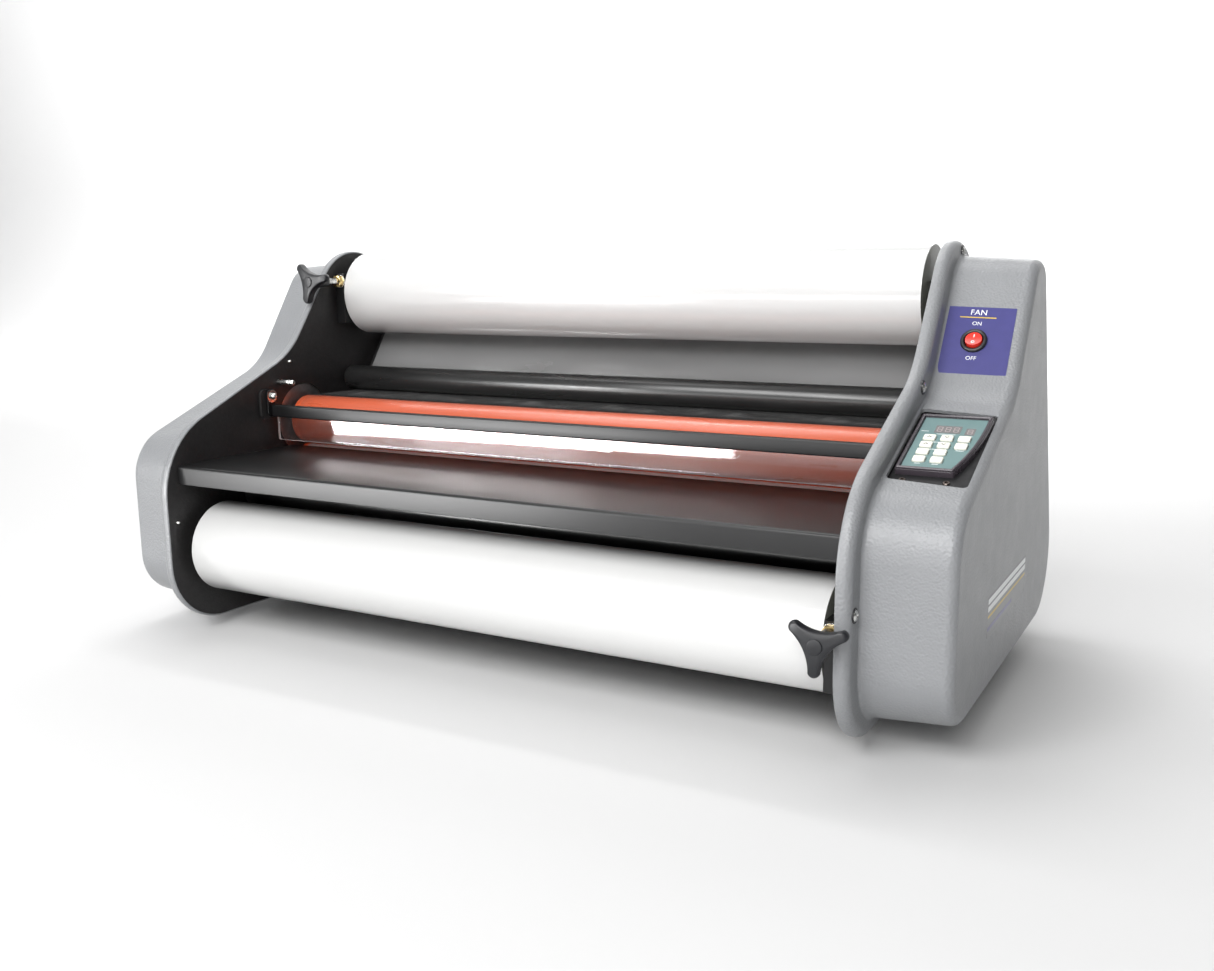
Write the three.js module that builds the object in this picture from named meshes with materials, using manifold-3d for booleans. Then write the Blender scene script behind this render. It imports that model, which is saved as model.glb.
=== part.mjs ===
// Desktop roll laminator: two side frames under moulded covers carry two film rolls, idler bars,
// two heated silicone rollers, two rubber pull rollers, a feed table and a hinged heat shield.
// Millimetres, +X to the operator's right, +Y to the rear, +Z up, origin under the middle of the machine.
import * as THREE from 'three';
import { mergeVertices } from 'three/addons/utils/BufferGeometryUtils.js';
import Module from 'manifold-3d';

const wasm = await Module();
wasm.setup();

// ---------- driving dimensions ----------
const GAP = 0.3;                        // clearance between pieces that touch
const PLATE_IN = 357;                   // inner face of each side frame, from the middle
const PLATE_T = 3;
const COVER_IN = PLATE_IN + PLATE_T + GAP;
const FLANGE_OUT = 369.5;               // outer face of the cover's rim
const COVER_OUT = 441;                  // outer face of the cover
const WALL = 3;                         // moulded cover wall
const FOOT_H = 10;
const ROLL = { r: 47.75, half: 343 };   // film roll on a one-inch core
const UPPER_ROLL = [92.5, 353];         // axes as [y, z]
const LOWER_ROLL = [-162.1, 91.3];
const HEAT = { r: 27.3, y: -17.5, nip: 183.85, half: 352 };
const HEAT_UP = [HEAT.y, HEAT.nip + HEAT.r + GAP / 2];
const HEAT_LOW = [HEAT.y, HEAT.nip - HEAT.r - GAP / 2];
const PULL = { r: 19, y: 165, half: 350, end: 6 };
const PULL_UP = [PULL.y, HEAT.nip + PULL.r + GAP / 2];
const PULL_LOW = [PULL.y, HEAT.nip - PULL.r - GAP / 2];
const IDLER = { r: 14.3, half: 354, up: [63, 252.8], low: [-107.5, 138] };
const TABLE = { top: 183.2, front: -208.5, rear: -40.5, lip: 19.7, sheet: 2, half: 355.5 };
const SHIELD = { front: -75.5, barTop: 233, barBottom: 219.5, barT: 6.4, panelBottom: 193, panelT: 3 };
const SHIELD_PIVOT = [-75, 243];
const KNOB = { r: 26, deep: 12, hub: 34, stud: 4, rise: 15, x: 350.2 };
const SPINDLE = { end: 7.5, body: 12.6 };
const BLOCK_IN = 344.5;                 // inner face of the spindle blocks
const JOURNAL = 8;
const BORE = 5.5;                       // heater bore through the heated rollers
const CLEAR_BORE = 0.4;
const GEAR = { teeth: 27, pinion: 15, module: (HEAT_UP[1] - HEAT_LOW[1]) / 27, x0: -396, x1: -386 };
const CHAIN = { x0: -379, x1: -375, pitch: 6.35, heat: 23, pull: 16, outer: 2.8, inner: -1.4 };
const PINION_ANGLE = -Math.PI / 3;
const BLOWER = { y: 141, z: 258, r: 21, half: 300, slats: 10 };

// Side outlines: corners [y, z, fillet radius] of a rounded polygon, counter-clockwise from the front foot.
const REAR = 290.2;
const FLANGE = [[-225.5, FOOT_H, 68], [REAR, FOOT_H, 84], [127.3, 403.5, 66], [48.5, 403.5, 66],
  [-35.5, 289, 100], [-225.5, 207, 90]];
const BULGE = [[-199.5, 27, 50], [259.1, 27, 65.6], [110.1, 387, 28], [65.5, 387, 40],
  [-9.5, 274, 80], [-199.5, 198, 55]];
const CORNER_STEPS = 5;

// Slopes of the cover's front that carry the keypad and the fan switch.
const KEYPAD = { x: 402.75, y: -97.5, z: 239, tilt: Math.atan(0.4), w: 62.5, low: -58, high: 57 };
const SWITCH = { x: 398, y: 17.6, z: 315.2, tilt: Math.atan(1.5) };
const KEY = { w: 10, h: 8.2, chamfer: 1.4, bottom: -2, top: 4.1, cols: [-12.75, 1.15, 14.95],
  rows: [7, -4.5, -15.8, -27.3] };

// ---------- materials ----------
function material(color, roughness, metalness = 0, opacity = 1) {
  return new THREE.MeshStandardMaterial({ color, roughness, metalness, opacity, transparent: opacity < 1 });
}
const MAT = {
  cover: () => material(0x979b9e, 0.55),
  blackSteel: () => material(0x1c1c1e, 0.6, 0.3),
  satinBlack: () => material(0x17181a, 0.35, 0.3),
  film: () => material(0xf3f3f1, 0.2),
  web: () => material(0x9a9c9d, 0.25, 0, 0.7),
  steel: () => material(0xb9bbbd, 0.35, 0.9),
  silicone: () => material(0xc4532f, 0.35),
  rubber: () => material(0x1d1d1d, 0.8),
  plastic: () => material(0x1b1b1f, 0.45),
  acrylic: () => material(0xe6eef0, 0.05, 0, 0.35),
  teal: () => material(0x6f8f90, 0.5),
  key: () => material(0xf0efe6, 0.5),
  red: () => material(0xd8322a, 0.3),
  brass: () => material(0xc8a24a, 0.3, 0.9),
  board: () => material(0x1f5b35, 0.6),
};

// ---------- geometry helpers ----------
function solid(geometry) {
  const bare = geometry.index ? geometry.toNonIndexed() : geometry.clone();
  bare.deleteAttribute('normal');
  bare.deleteAttribute('uv');
  const merged = mergeVertices(bare, 1e-4);
  const mesh = new wasm.Mesh({
    numProp: 3,
    vertProperties: new Float32Array(merged.attributes.position.array),
    triVerts: new Uint32Array(merged.index.array),
  });
  mesh.merge();
  return new wasm.Manifold(mesh);
}
function geometryOf(manifold) {
  const mesh = manifold.getMesh();
  const geometry = new THREE.BufferGeometry();
  geometry.setAttribute('position', new THREE.BufferAttribute(new Float32Array(mesh.vertProperties), 3));
  geometry.setIndex(new THREE.BufferAttribute(new Uint32Array(mesh.triVerts), 1));
  geometry.computeVertexNormals();
  return geometry;
}
function join(...geometries) {
  return geometryOf(geometries.map(solid).reduce((sum, next) => sum.add(next)));
}
function cut(geometry, ...tools) {
  return geometryOf(tools.map(solid).reduce((rest, tool) => rest.subtract(tool), solid(geometry)));
}
function common(first, second) {
  return geometryOf(solid(first).intersect(solid(second)));
}
function basis(geometry, x, y, z) {
  return geometry.applyMatrix4(new THREE.Matrix4().makeBasis(x, y, z));
}
const AXIS_X = new THREE.Vector3(1, 0, 0);
const AXIS_Y = new THREE.Vector3(0, 1, 0);
const AXIS_Z = new THREE.Vector3(0, 0, 1);

function box(x0, x1, y0, y1, z0, z1) {
  const geometry = new THREE.BoxGeometry(x1 - x0, y1 - y0, z1 - z0);
  return geometry.translate((x0 + x1) / 2, (y0 + y1) / 2, (z0 + z1) / 2);
}
// A flat outline in (y, z), extruded along X from x0 to x1.
function sideExtrude(shape, x0, x1, segments = 6) {
  const geometry = new THREE.ExtrudeGeometry(shape,
    { depth: x1 - x0, bevelEnabled: false, curveSegments: segments });
  return basis(geometry, AXIS_Y, AXIS_Z, AXIS_X).translate(x0, 0, 0);
}
// A flat outline in (x, z), extruded forward along -Y from y0.
function frontExtrude(shape, y0, depth, bevel = 0) {
  const options = { depth: depth - 2 * bevel, bevelEnabled: bevel > 0, curveSegments: 3 };
  options.bevelSize = bevel;
  options.bevelThickness = bevel;
  options.bevelSegments = 1;
  const geometry = new THREE.ExtrudeGeometry(shape, options);
  return basis(geometry, AXIS_X, AXIS_Z, AXIS_Y.clone().negate()).translate(0, y0 - bevel, 0);
}
// A round piece about an axis parallel to X: profile points are [x, r].
function lathe(profile, axis, segments = 32) {
  const points = profile.map(([x, r]) => new THREE.Vector2(r, x));
  const geometry = new THREE.LatheGeometry(points, segments);
  geometry.rotateZ(-Math.PI / 2);
  return upright(geometry).translate(0, axis[0], axis[1]);
}
// Turns a closed surface the right way out when its volume comes out negative.
function upright(geometry) {
  const flat = geometry.index ? geometry.toNonIndexed() : geometry;
  const p = flat.attributes.position;
  const [a, b, c] = [new THREE.Vector3(), new THREE.Vector3(), new THREE.Vector3()];
  let volume = 0;
  for (let i = 0; i < p.count; i += 3) {
    a.fromBufferAttribute(p, i);
    b.fromBufferAttribute(p, i + 1);
    c.fromBufferAttribute(p, i + 2);
    volume += a.dot(b.cross(c));
  }
  if (volume >= 0) return geometry;
  const turned = flat.clone();
  const q = turned.attributes.position;
  for (let i = 0; i < q.count; i += 3) {
    a.fromBufferAttribute(q, i + 1);
    b.fromBufferAttribute(q, i + 2);
    q.setXYZ(i + 1, b.x, b.y, b.z);
    q.setXYZ(i + 2, a.x, a.y, a.z);
  }
  turned.computeVertexNormals();
  return turned;
}
function tube(x0, x1, outer, inner, axis, segments = 32) {
  return lathe([[x0, inner], [x0, outer], [x1, outer], [x1, inner], [x0, inner]], axis, segments);
}
function rod(x0, x1, r, axis, segments = 20) {
  return lathe([[x0, 0], [x0, r], [x1, r], [x1, 0]], axis, segments);
}
function circle(shapeOrPath, y, z, r) {
  shapeOrPath.absarc(y, z, r, 0, 2 * Math.PI, false);
  return shapeOrPath;
}
function polygon(points) {
  return new THREE.Shape(points.map(([a, b]) => new THREE.Vector2(a, b)));
}
function roundedRect(cx, cy, w, h, r) {
  const shape = new THREE.Shape();
  shape.absarc(cx + w / 2 - r, cy + h / 2 - r, r, 0, Math.PI / 2, false);
  shape.absarc(cx - w / 2 + r, cy + h / 2 - r, r, Math.PI / 2, Math.PI, false);
  shape.absarc(cx - w / 2 + r, cy - h / 2 + r, r, Math.PI, 1.5 * Math.PI, false);
  shape.absarc(cx + w / 2 - r, cy - h / 2 + r, r, 1.5 * Math.PI, 2 * Math.PI, false);
  shape.closePath();
  return shape;
}
function chamferedRect(cx, cy, w, h, c) {
  const corners = [[w / 2, h / 2 - c], [w / 2 - c, h / 2], [c - w / 2, h / 2], [-w / 2, h / 2 - c],
    [-w / 2, c - h / 2], [c - w / 2, -h / 2], [w / 2 - c, -h / 2], [w / 2, c - h / 2]];
  return polygon(corners.map(([u, v]) => [cx + u, cy + v]));
}
// Points of a rounded polygon moved outward by `out`: the same count for every outline with as many corners.
function outline(corners, out = 0) {
  const n = corners.length;
  const edges = corners.map((corner, i) => {
    const next = corners[(i + 1) % n];
    const along = new THREE.Vector2(next[0] - corner[0], next[1] - corner[1]).normalize();
    const normal = new THREE.Vector2(along.y, -along.x);
    return { point: new THREE.Vector2(corner[0], corner[1]).addScaledVector(normal, out), along, normal };
  });
  const points = [];
  for (let i = 0; i < n; i++) {
    const before = edges[(i + n - 1) % n];
    const after = edges[i];
    const turn = before.along.cross(after.along);
    const reach = after.point.clone().sub(before.point).cross(after.along) / turn;
    const corner = before.point.clone().addScaledVector(before.along, reach);
    const r = turn > 0 ? corners[i][2] + out : corners[i][2] - out;
    const half = Math.acos(THREE.MathUtils.clamp(before.along.dot(after.along), -1, 1)) / 2;
    const start = corner.clone().addScaledVector(before.along, -r * Math.tan(half));
    const centre = start.clone().addScaledVector(before.normal, turn > 0 ? -r : r);
    const sweep = turn > 0 ? 2 * half : -2 * half;
    const arm = start.clone().sub(centre);
    for (let k = 0; k <= CORNER_STEPS; k++) {
      const spoke = arm.clone().rotateAround(new THREE.Vector2(), sweep * k / CORNER_STEPS);
      points.push(centre.clone().add(spoke));
    }
  }
  return points;
}
// A closed skin through rings [x, corners, out], capped at both ends; side = -1 mirrors it to the left.
function ringSolid(rings, side) {
  const loops = rings.map(([x, corners, out]) => outline(corners, out).map((p) => [side * x, p.x, p.y]));
  const count = loops[0].length;
  const index = [];
  for (let ring = 0; ring + 1 < loops.length; ring++) {
    for (let i = 0; i < count; i++) {
      const [a, b] = [ring * count + i, ring * count + (i + 1) % count];
      index.push(a, b, b + count, a, b + count, a + count);
    }
  }
  const cap = (ring, flip) => {
    const flat = loops[ring].map((p) => new THREE.Vector2(p[1], p[2]));
    THREE.ShapeUtils.triangulateShape(flat, []).forEach(([a, b, c]) => {
      const [i, j, k] = flip ? [a, c, b] : [a, b, c];
      index.push(ring * count + i, ring * count + j, ring * count + k);
    });
  };
  cap(0, true);
  cap(loops.length - 1, false);
  const geometry = new THREE.BufferGeometry();
  geometry.setAttribute('position', new THREE.BufferAttribute(new Float32Array(loops.flat(2)), 3));
  geometry.setIndex(index);
  return upright(geometry);
}
// Places a piece drawn in (u, v, n) on a slope: u along X, v up the slope, n out of it.
function onSlope(geometry, slope) {
  const up = new THREE.Vector3(0, Math.cos(slope.tilt), Math.sin(slope.tilt));
  const out = new THREE.Vector3(0, -Math.sin(slope.tilt), Math.cos(slope.tilt));
  return basis(geometry, AXIS_X, up, out).translate(slope.x, slope.y, slope.z);
}
function slopeExtrude(shape, n0, n1, segments = 1) {
  const options = { depth: n1 - n0, bevelEnabled: false, curveSegments: segments };
  return new THREE.ExtrudeGeometry(shape, options).translate(0, 0, n0);
}
function arcPoints(centre, r, from, to, steps) {
  return Array.from({ length: steps + 1 }, (_, i) => {
    const angle = from + (to - from) * i / steps;
    return new THREE.Vector2(centre[0] + r * Math.cos(angle), centre[1] + r * Math.sin(angle));
  });
}
// Toothed wheel outline with trapezoid teeth, one of them centred at `phase`.
function toothed(teeth, pitchR, tip, root, phase, axis, bore) {
  const step = 2 * Math.PI / teeth;
  const points = [];
  for (let i = 0; i < teeth; i++) {
    const mid = phase + i * step;
    const corners = [[-0.33, root], [-0.12, tip], [0.12, tip], [0.33, root]];
    corners.forEach(([part, dr]) => {
      const angle = mid + part * step;
      points.push([axis[0] + (pitchR + dr) * Math.cos(angle), axis[1] + (pitchR + dr) * Math.sin(angle)]);
    });
  }
  const shape = polygon(points);
  if (bore) shape.holes.push(circle(new THREE.Path(), axis[0], axis[1], bore));
  return shape;
}

// ---------- assembly ----------
const laminator = new THREE.Group();
function add(name, geometry, mat) {
  const mesh = new THREE.Mesh(geometry, mat());
  mesh.name = name;
  laminator.add(mesh);
}

// Side frames: wrinkle-painted steel plates with a window at the heated rollers and bores for the journals.
function sidePlate(side) {
  const shape = new THREE.Shape(outline(FLANGE, -2));
  const holes = [[HEAT_UP, 40.7], [HEAT_LOW, JOURNAL + 1], [PULL_UP, 7], [PULL_LOW, 7],
    [IDLER.up, 6 + CLEAR_BORE], [IDLER.low, 6 + CLEAR_BORE]];
  holes.forEach(([axis, r]) => shape.holes.push(circle(new THREE.Path(), axis[0], axis[1], r)));
  const x = side * PLATE_IN;
  return sideExtrude(shape, Math.min(x, x + side * PLATE_T), Math.max(x, x + side * PLATE_T), 8);
}
// Moulded covers: a rolled rim round a deep bulge with drafted walls and a rounded outer edge.
function cover(side) {
  const edge = COVER_OUT - 9;
  const rings = [
    [COVER_OUT - WALL, BULGE, -12.5], [edge - 1, BULGE, -4.6],
    [FLANGE_OUT, BULGE, -0.8], [FLANGE_OUT - WALL, BULGE, 1], [FLANGE_OUT - WALL, FLANGE, -8],
    [FLANGE_OUT - 3.6, FLANGE, -4.5], [COVER_IN, FLANGE, -4],
    [COVER_IN, FLANGE, -1.5], [COVER_IN + 2.4, FLANGE, 0], [FLANGE_OUT - 2.8, FLANGE, -0.8],
    [FLANGE_OUT, FLANGE, -7], [FLANGE_OUT + 0.6, BULGE, 4.2],
    [FLANGE_OUT + 3, BULGE, 2.2], [edge, BULGE, -1.6],
    [edge + 6.4, BULGE, -4.2], [COVER_OUT, BULGE, -10.6],
  ];
  return ringSolid(rings, side);
}
add('left_side_plate', sidePlate(-1), MAT.blackSteel);
add('right_side_plate', sidePlate(1), MAT.blackSteel);
add('left_side_cover', cover(-1), MAT.cover);

const keypadMid = (KEYPAD.low + KEYPAD.high) / 2;
const keypadTall = KEYPAD.high - KEYPAD.low;
const keypadHole = slopeExtrude(roundedRect(0, keypadMid, KEYPAD.w, keypadTall, 4), -12, 12);
const switchHole = slopeExtrude(circle(new THREE.Shape(), 0, 0, 10.2), -8, 8, 8);
add('right_side_cover', cut(cover(1), onSlope(keypadHole, KEYPAD), onSlope(switchHole, SWITCH)), MAT.cover);

// Chassis: a folded pan between the plates, its rear wall holding the power inlet.
const PAN = { front: -90, rear: 190, low: 14, top: 158, sheet: 2, lip: 20 };
const INLET = { x: 280, z: 92, w: 58, h: 31 };
const panShape = polygon([[PAN.front, PAN.low], [PAN.rear, PAN.low], [PAN.rear, PAN.top],
  [PAN.rear - PAN.sheet, PAN.top], [PAN.rear - PAN.sheet, PAN.low + PAN.sheet],
  [PAN.front + PAN.sheet, PAN.low + PAN.sheet],
  [PAN.front + PAN.sheet, PAN.low + PAN.lip], [PAN.front, PAN.low + PAN.lip]]);
const panX = PLATE_IN - GAP;
const inletHole = box(INLET.x - 24.5, INLET.x + 24.5,
  PAN.rear - 9, PAN.rear + 9, INLET.z - 13.5, INLET.z + 13.5);
add('base_pan', cut(sideExtrude(panShape, -panX, panX), inletHole), MAT.blackSteel);
[-1, 1].forEach((side) => {
  const name = side < 0 ? 'left_foot_rail' : 'right_foot_rail';
  const shape = polygon([[-52, 0], [178, 0], [180, 2], [180, 13.7], [-54, 13.7], [-54, 2]]);
  add(name, sideExtrude(shape, side * 335 - 9, side * 335 + 9), MAT.rubber);
});

// Rear hood over the cooling blower, louvred down its slope.
const HOOD = [[101, 262], [131, 305], [160, 309], [199, 215]];
function bandShape(points, thick) {
  const side = (sign) => points.map((p, i) => {
    const from = points[Math.max(i - 1, 0)];
    const to = points[Math.min(i + 1, points.length - 1)];
    const along = to.clone().sub(from).normalize();
    return new THREE.Vector2(p.x - sign * along.y * thick / 2, p.y + sign * along.x * thick / 2);
  });
  return new THREE.Shape([...side(1), ...side(-1).reverse()]);
}
const hoodPath = HOOD.map(([y, z]) => new THREE.Vector2(y, z));
const hoodSlots = [];
for (let i = 0; i < 8; i++) {
  const x = -308 + i * 88;
  hoodSlots.push(box(x - 32, x + 32, 165, 205, 262, 266), box(x - 32, x + 32, 165, 205, 278, 282));
}
add('rear_hood', cut(sideExtrude(bandShape(hoodPath, 2), -panX, panX), ...hoodSlots), MAT.blackSteel);

// Cross-flow blower: a C-shaped housing with end plates round a slatted drum.
function blowerHousing() {
  const centre = [BLOWER.y, BLOWER.z];
  const wrap = [...arcPoints(centre, 28, -0.45 * Math.PI, 0.95 * Math.PI, 10), new THREE.Vector2(112, 232)];
  const parts = [sideExtrude(bandShape(wrap, 2), -BLOWER.half - 7, BLOWER.half + 7)];
  [-1, 1].forEach((side) => {
    const x = side * (BLOWER.half + 5);
    const disc = circle(new THREE.Shape(), centre[0], centre[1], 29);
    disc.holes.push(circle(new THREE.Path(), centre[0], centre[1], 5));
    parts.push(sideExtrude(disc, x - 1.5, x + 1.5, 8));
    parts.push(box(side > 0 ? x : -panX, side > 0 ? panX : x, 138, 144, 282, 286.5));
  });
  return join(...parts);
}
function blowerDrum() {
  const axis = [BLOWER.y, BLOWER.z];
  const parts = [rod(-BLOWER.half - 10, BLOWER.half + 10, 4, axis, 12)];
  [-BLOWER.half, -1.5, BLOWER.half - 3].forEach((x) => parts.push(rod(x, x + 3, BLOWER.r, axis, 16)));
  for (let i = 0; i < BLOWER.slats; i++) {
    const slat = new THREE.BoxGeometry(2 * BLOWER.half - 2, 5, 1.2);
    slat.rotateX(0.6).translate(0, 0, BLOWER.r - 3.2);
    slat.rotateX(2 * Math.PI * i / BLOWER.slats).translate(0, axis[0], axis[1]);
    parts.push(slat);
  }
  return join(...parts);
}
add('blower_housing', blowerHousing(), MAT.blackSteel);
add('blower_drum', blowerDrum(), MAT.plastic);

// Bearing plates behind the windows.
[-1, 1].forEach((side) => {
  const shape = roundedRect(HEAT.y, HEAT.nip + 1, 92, 132, 8);
  [HEAT_UP, HEAT_LOW].forEach((axis) => {
    shape.holes.push(circle(new THREE.Path(), axis[0], axis[1], JOURNAL + CLEAR_BORE));
  });
  const x = side * (COVER_IN + 4);
  add(side < 0 ? 'left_bearing_plate' : 'right_bearing_plate',
    sideExtrude(shape, x - 3.6, x + 3.6), MAT.steel);
});

// Heated rollers: silicone sleeves on bored aluminium cores; gears at the left keep them turning together.
const gearR = GEAR.teeth * GEAR.module / 2;
const TIP = 0.85 * GEAR.module;
const ROOT = -1.15 * GEAR.module;
function rollerCore(axis, left, right) {
  const inner = 14;
  const outer = HEAT.r - 7;
  const end = HEAT.half;
  return lathe([[left, BORE], [left, JOURNAL], [-end, JOURNAL], [-end, outer], [end, outer], [end, JOURNAL],
    [right, JOURNAL], [right, BORE], [end - 8, BORE], [end - 8, inner], [-end + 8, inner], [-end + 8, BORE],
    [left, BORE]], axis, 20);
}
const lowPhase = Math.PI / 2;
const upPhase = -Math.PI / 2 + Math.PI / GEAR.teeth;
const upGear = toothed(GEAR.teeth, gearR, TIP, ROOT, upPhase, HEAT_UP, JOURNAL - 1);
const lowGear = toothed(GEAR.teeth, gearR, TIP, ROOT, lowPhase, HEAT_LOW, JOURNAL - 1);
const sprocketR = (teeth) => teeth * CHAIN.pitch / (2 * Math.PI);
const heatSprocket = toothed(CHAIN.heat, sprocketR(CHAIN.heat), -2.2, -4.6, 0, HEAT_LOW, JOURNAL - 1);
const upCore = rollerCore(HEAT_UP, GEAR.x0, COVER_IN + 9);
const lowCore = rollerCore(HEAT_LOW, GEAR.x0, COVER_IN + 9);
add('upper_roller_core', join(upCore, sideExtrude(upGear, GEAR.x0, GEAR.x1)), MAT.steel);
add('lower_roller_core', join(lowCore, sideExtrude(lowGear, GEAR.x0, GEAR.x1),
  sideExtrude(heatSprocket, CHAIN.x0, CHAIN.x1)), MAT.steel);
const sleeveIn = HEAT.r - 7 + GAP;
add('upper_roller_sleeve', tube(-HEAT.half, HEAT.half, HEAT.r, sleeveIn, HEAT_UP, 36), MAT.silicone);
add('lower_roller_sleeve', tube(-HEAT.half, HEAT.half, HEAT.r, sleeveIn, HEAT_LOW, 36), MAT.silicone);
add('upper_heater_rod', rod(-400, 400, BORE - 0.5, HEAT_UP, 16), MAT.steel);
add('lower_heater_rod', rod(-400, 400, BORE - 0.5, HEAT_LOW, 16), MAT.steel);

// Pull rollers; the lower one carries the chain's second sprocket.
function pullRoller(axis, left) {
  const right = PLATE_IN + PLATE_T;
  return lathe([[left, 0], [left, PULL.end], [-PULL.half, PULL.end], [-PULL.half, PULL.r],
    [PULL.half, PULL.r], [PULL.half, PULL.end], [right, PULL.end], [right, 0]], axis, 24);
}
const pullSprocket = toothed(CHAIN.pull, sprocketR(CHAIN.pull), -2.2, -4.6, 0, PULL_LOW, 5);
add('upper_pull_roller', pullRoller(PULL_UP, -PLATE_IN - PLATE_T), MAT.rubber);
add('lower_pull_roller',
  join(pullRoller(PULL_LOW, CHAIN.x0 - 2), sideExtrude(pullSprocket, CHAIN.x0, CHAIN.x1)),
  MAT.rubber);

// Drive chain: one loop round both sprockets, clear of their teeth.
function chainLoop(grow) {
  const [a, b] = [HEAT_LOW, PULL_LOW];
  const [ra, rb] = [sprocketR(CHAIN.heat) + grow, sprocketR(CHAIN.pull) + grow];
  const run = Math.atan2(b[1] - a[1], b[0] - a[0]);
  const lean = Math.acos((ra - rb) / Math.hypot(b[0] - a[0], b[1] - a[1]));
  return [...arcPoints(a, ra, run + lean, run + 2 * Math.PI - lean, 16),
    ...arcPoints(b, rb, run - lean, run + lean, 12)];
}
const chainShape = new THREE.Shape(chainLoop(CHAIN.outer));
chainShape.holes.push(new THREE.Path(chainLoop(CHAIN.inner)));
add('drive_chain', sideExtrude(chainShape, CHAIN.x0, CHAIN.x1), MAT.steel);

// Gear motor in the left cover and its pinion, in mesh with the lower roller's gear.
const centres = (GEAR.teeth + GEAR.pinion) * GEAR.module / 2;
const PINION = [HEAT_LOW[0] + centres * Math.cos(PINION_ANGLE),
  HEAT_LOW[1] + centres * Math.sin(PINION_ANGLE)];
const meshPart = ((PINION_ANGLE - lowPhase) * GEAR.teeth / (2 * Math.PI)) % 1;
const pinionPhase = PINION_ANGLE + Math.PI - (0.5 - meshPart) * 2 * Math.PI / GEAR.pinion;
const pinionR = GEAR.pinion * GEAR.module / 2;
const pinion = toothed(GEAR.pinion, pinionR, TIP, ROOT, pinionPhase, PINION, 0);
const pinionBoss = rod(-399.7, GEAR.x0 + 1, 6, PINION);
add('motor_pinion', join(sideExtrude(pinion, GEAR.x0, GEAR.x1), pinionBoss), MAT.brass);
const MOTOR = { x0: -430, x1: -400, half: 30, canR: 15, canLong: 80 };
const [motorY, motorZ] = [PINION[0], PINION[1] - 8];
const motorCan = new THREE.CylinderGeometry(MOTOR.canR, MOTOR.canR, MOTOR.canLong, 24)
  .translate(-414, motorY - 66, motorZ - 6);
const standoffs = [[-24, -23], [24, -23]].map(([dy, dz]) => {
  return rod(-402, -COVER_IN, 4, [motorY + dy, motorZ + dz], 12);
});
const gearBox = box(MOTOR.x0, MOTOR.x1, motorY - MOTOR.half, motorY + MOTOR.half,
  motorZ - MOTOR.half, motorZ + MOTOR.half);
add('gear_motor', join(gearBox, motorCan, ...standoffs), MAT.steel);

// Control board on standoffs in the right cover, with its transformer.
const boardPosts = [[50, 68], [140, 68], [50, 142], [140, 142]]
  .map((axis) => rod(COVER_IN, 386, 3, axis, 10));
const boardSheet = box(385, 387, 40, 150, 60, 150);
const transformer = box(386, 416, 95, 140, 70, 112);
const relay = box(386, 400, 52, 62, 110, 132);
const chip = box(386, 396, 70, 88, 120, 140);
add('control_board', join(boardSheet, transformer, relay, chip, ...boardPosts), MAT.board);

// Power inlet with its rocker on the rear wall.
const inletFlange = box(INLET.x - INLET.w / 2, INLET.x + INLET.w / 2, PAN.rear + GAP, PAN.rear + GAP + 3,
  INLET.z - INLET.h / 2, INLET.z + INLET.h / 2);
const inletBody = box(INLET.x - 24, INLET.x + 24, PAN.rear - 22, PAN.rear + 2, INLET.z - 13, INLET.z + 13);
const inletSocket = box(INLET.x - 20, INLET.x + 4, PAN.rear - 16, PAN.rear + 9, INLET.z - 8.5, INLET.z + 8.5);
const inletRocker = box(INLET.x + 8, INLET.x + 21,
  PAN.rear - 16, PAN.rear + 9, INLET.z - 10.4, INLET.z + 10.4);
add('power_inlet', cut(join(inletFlange, inletBody), inletSocket, inletRocker), MAT.plastic);
const rockerY = PAN.rear + GAP + 3;
const powerBlock = box(INLET.x + 8.4, INLET.x + 20.6, rockerY - 7, rockerY + 3, INLET.z - 12, INLET.z + 12);
const powerRound = rod(INLET.x + 8, INLET.x + 21, 10, [rockerY, INLET.z], 32);
const powerLean = new THREE.BoxGeometry(20, 20, 40).rotateX(-0.2)
  .translate(INLET.x + 14.5, rockerY + 11.6, INLET.z);
add('power_rocker', cut(common(powerBlock, powerRound), powerLean), MAT.red);

// Idler bars on end journals.
function idler(axis) {
  const { r, half } = IDLER;
  return lathe([[-PLATE_IN - 2.5, 0], [-PLATE_IN - 2.5, 6], [-half, 6], [-half, r - 2], [-half + 2, r],
    [half - 2, r], [half, r - 2], [half, 6], [PLATE_IN + 2.5, 6], [PLATE_IN + 2.5, 0]], axis, 20);
}
add('upper_idler_bar', idler(IDLER.up), MAT.satinBlack);
add('lower_idler_bar', idler(IDLER.low), MAT.satinBlack);

// Film rolls on their spindles.
function spindle(axis) {
  const end = PLATE_IN - 1.2;
  const step = ROLL.half + 0.3;
  return lathe([[-end, 0], [-end, SPINDLE.end], [-step, SPINDLE.end], [-step, SPINDLE.body],
    [step, SPINDLE.body], [step, SPINDLE.end], [end, SPINDLE.end], [end, 0]], axis, 16);
}
[['upper', UPPER_ROLL], ['lower', LOWER_ROLL]].forEach(([level, axis]) => {
  add(`${level}_film_roll`, tube(-ROLL.half, ROLL.half, ROLL.r, SPINDLE.body + 0.5, axis, 40), MAT.film);
  add(`${level}_spindle`, spindle(axis), MAT.steel);
});

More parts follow.
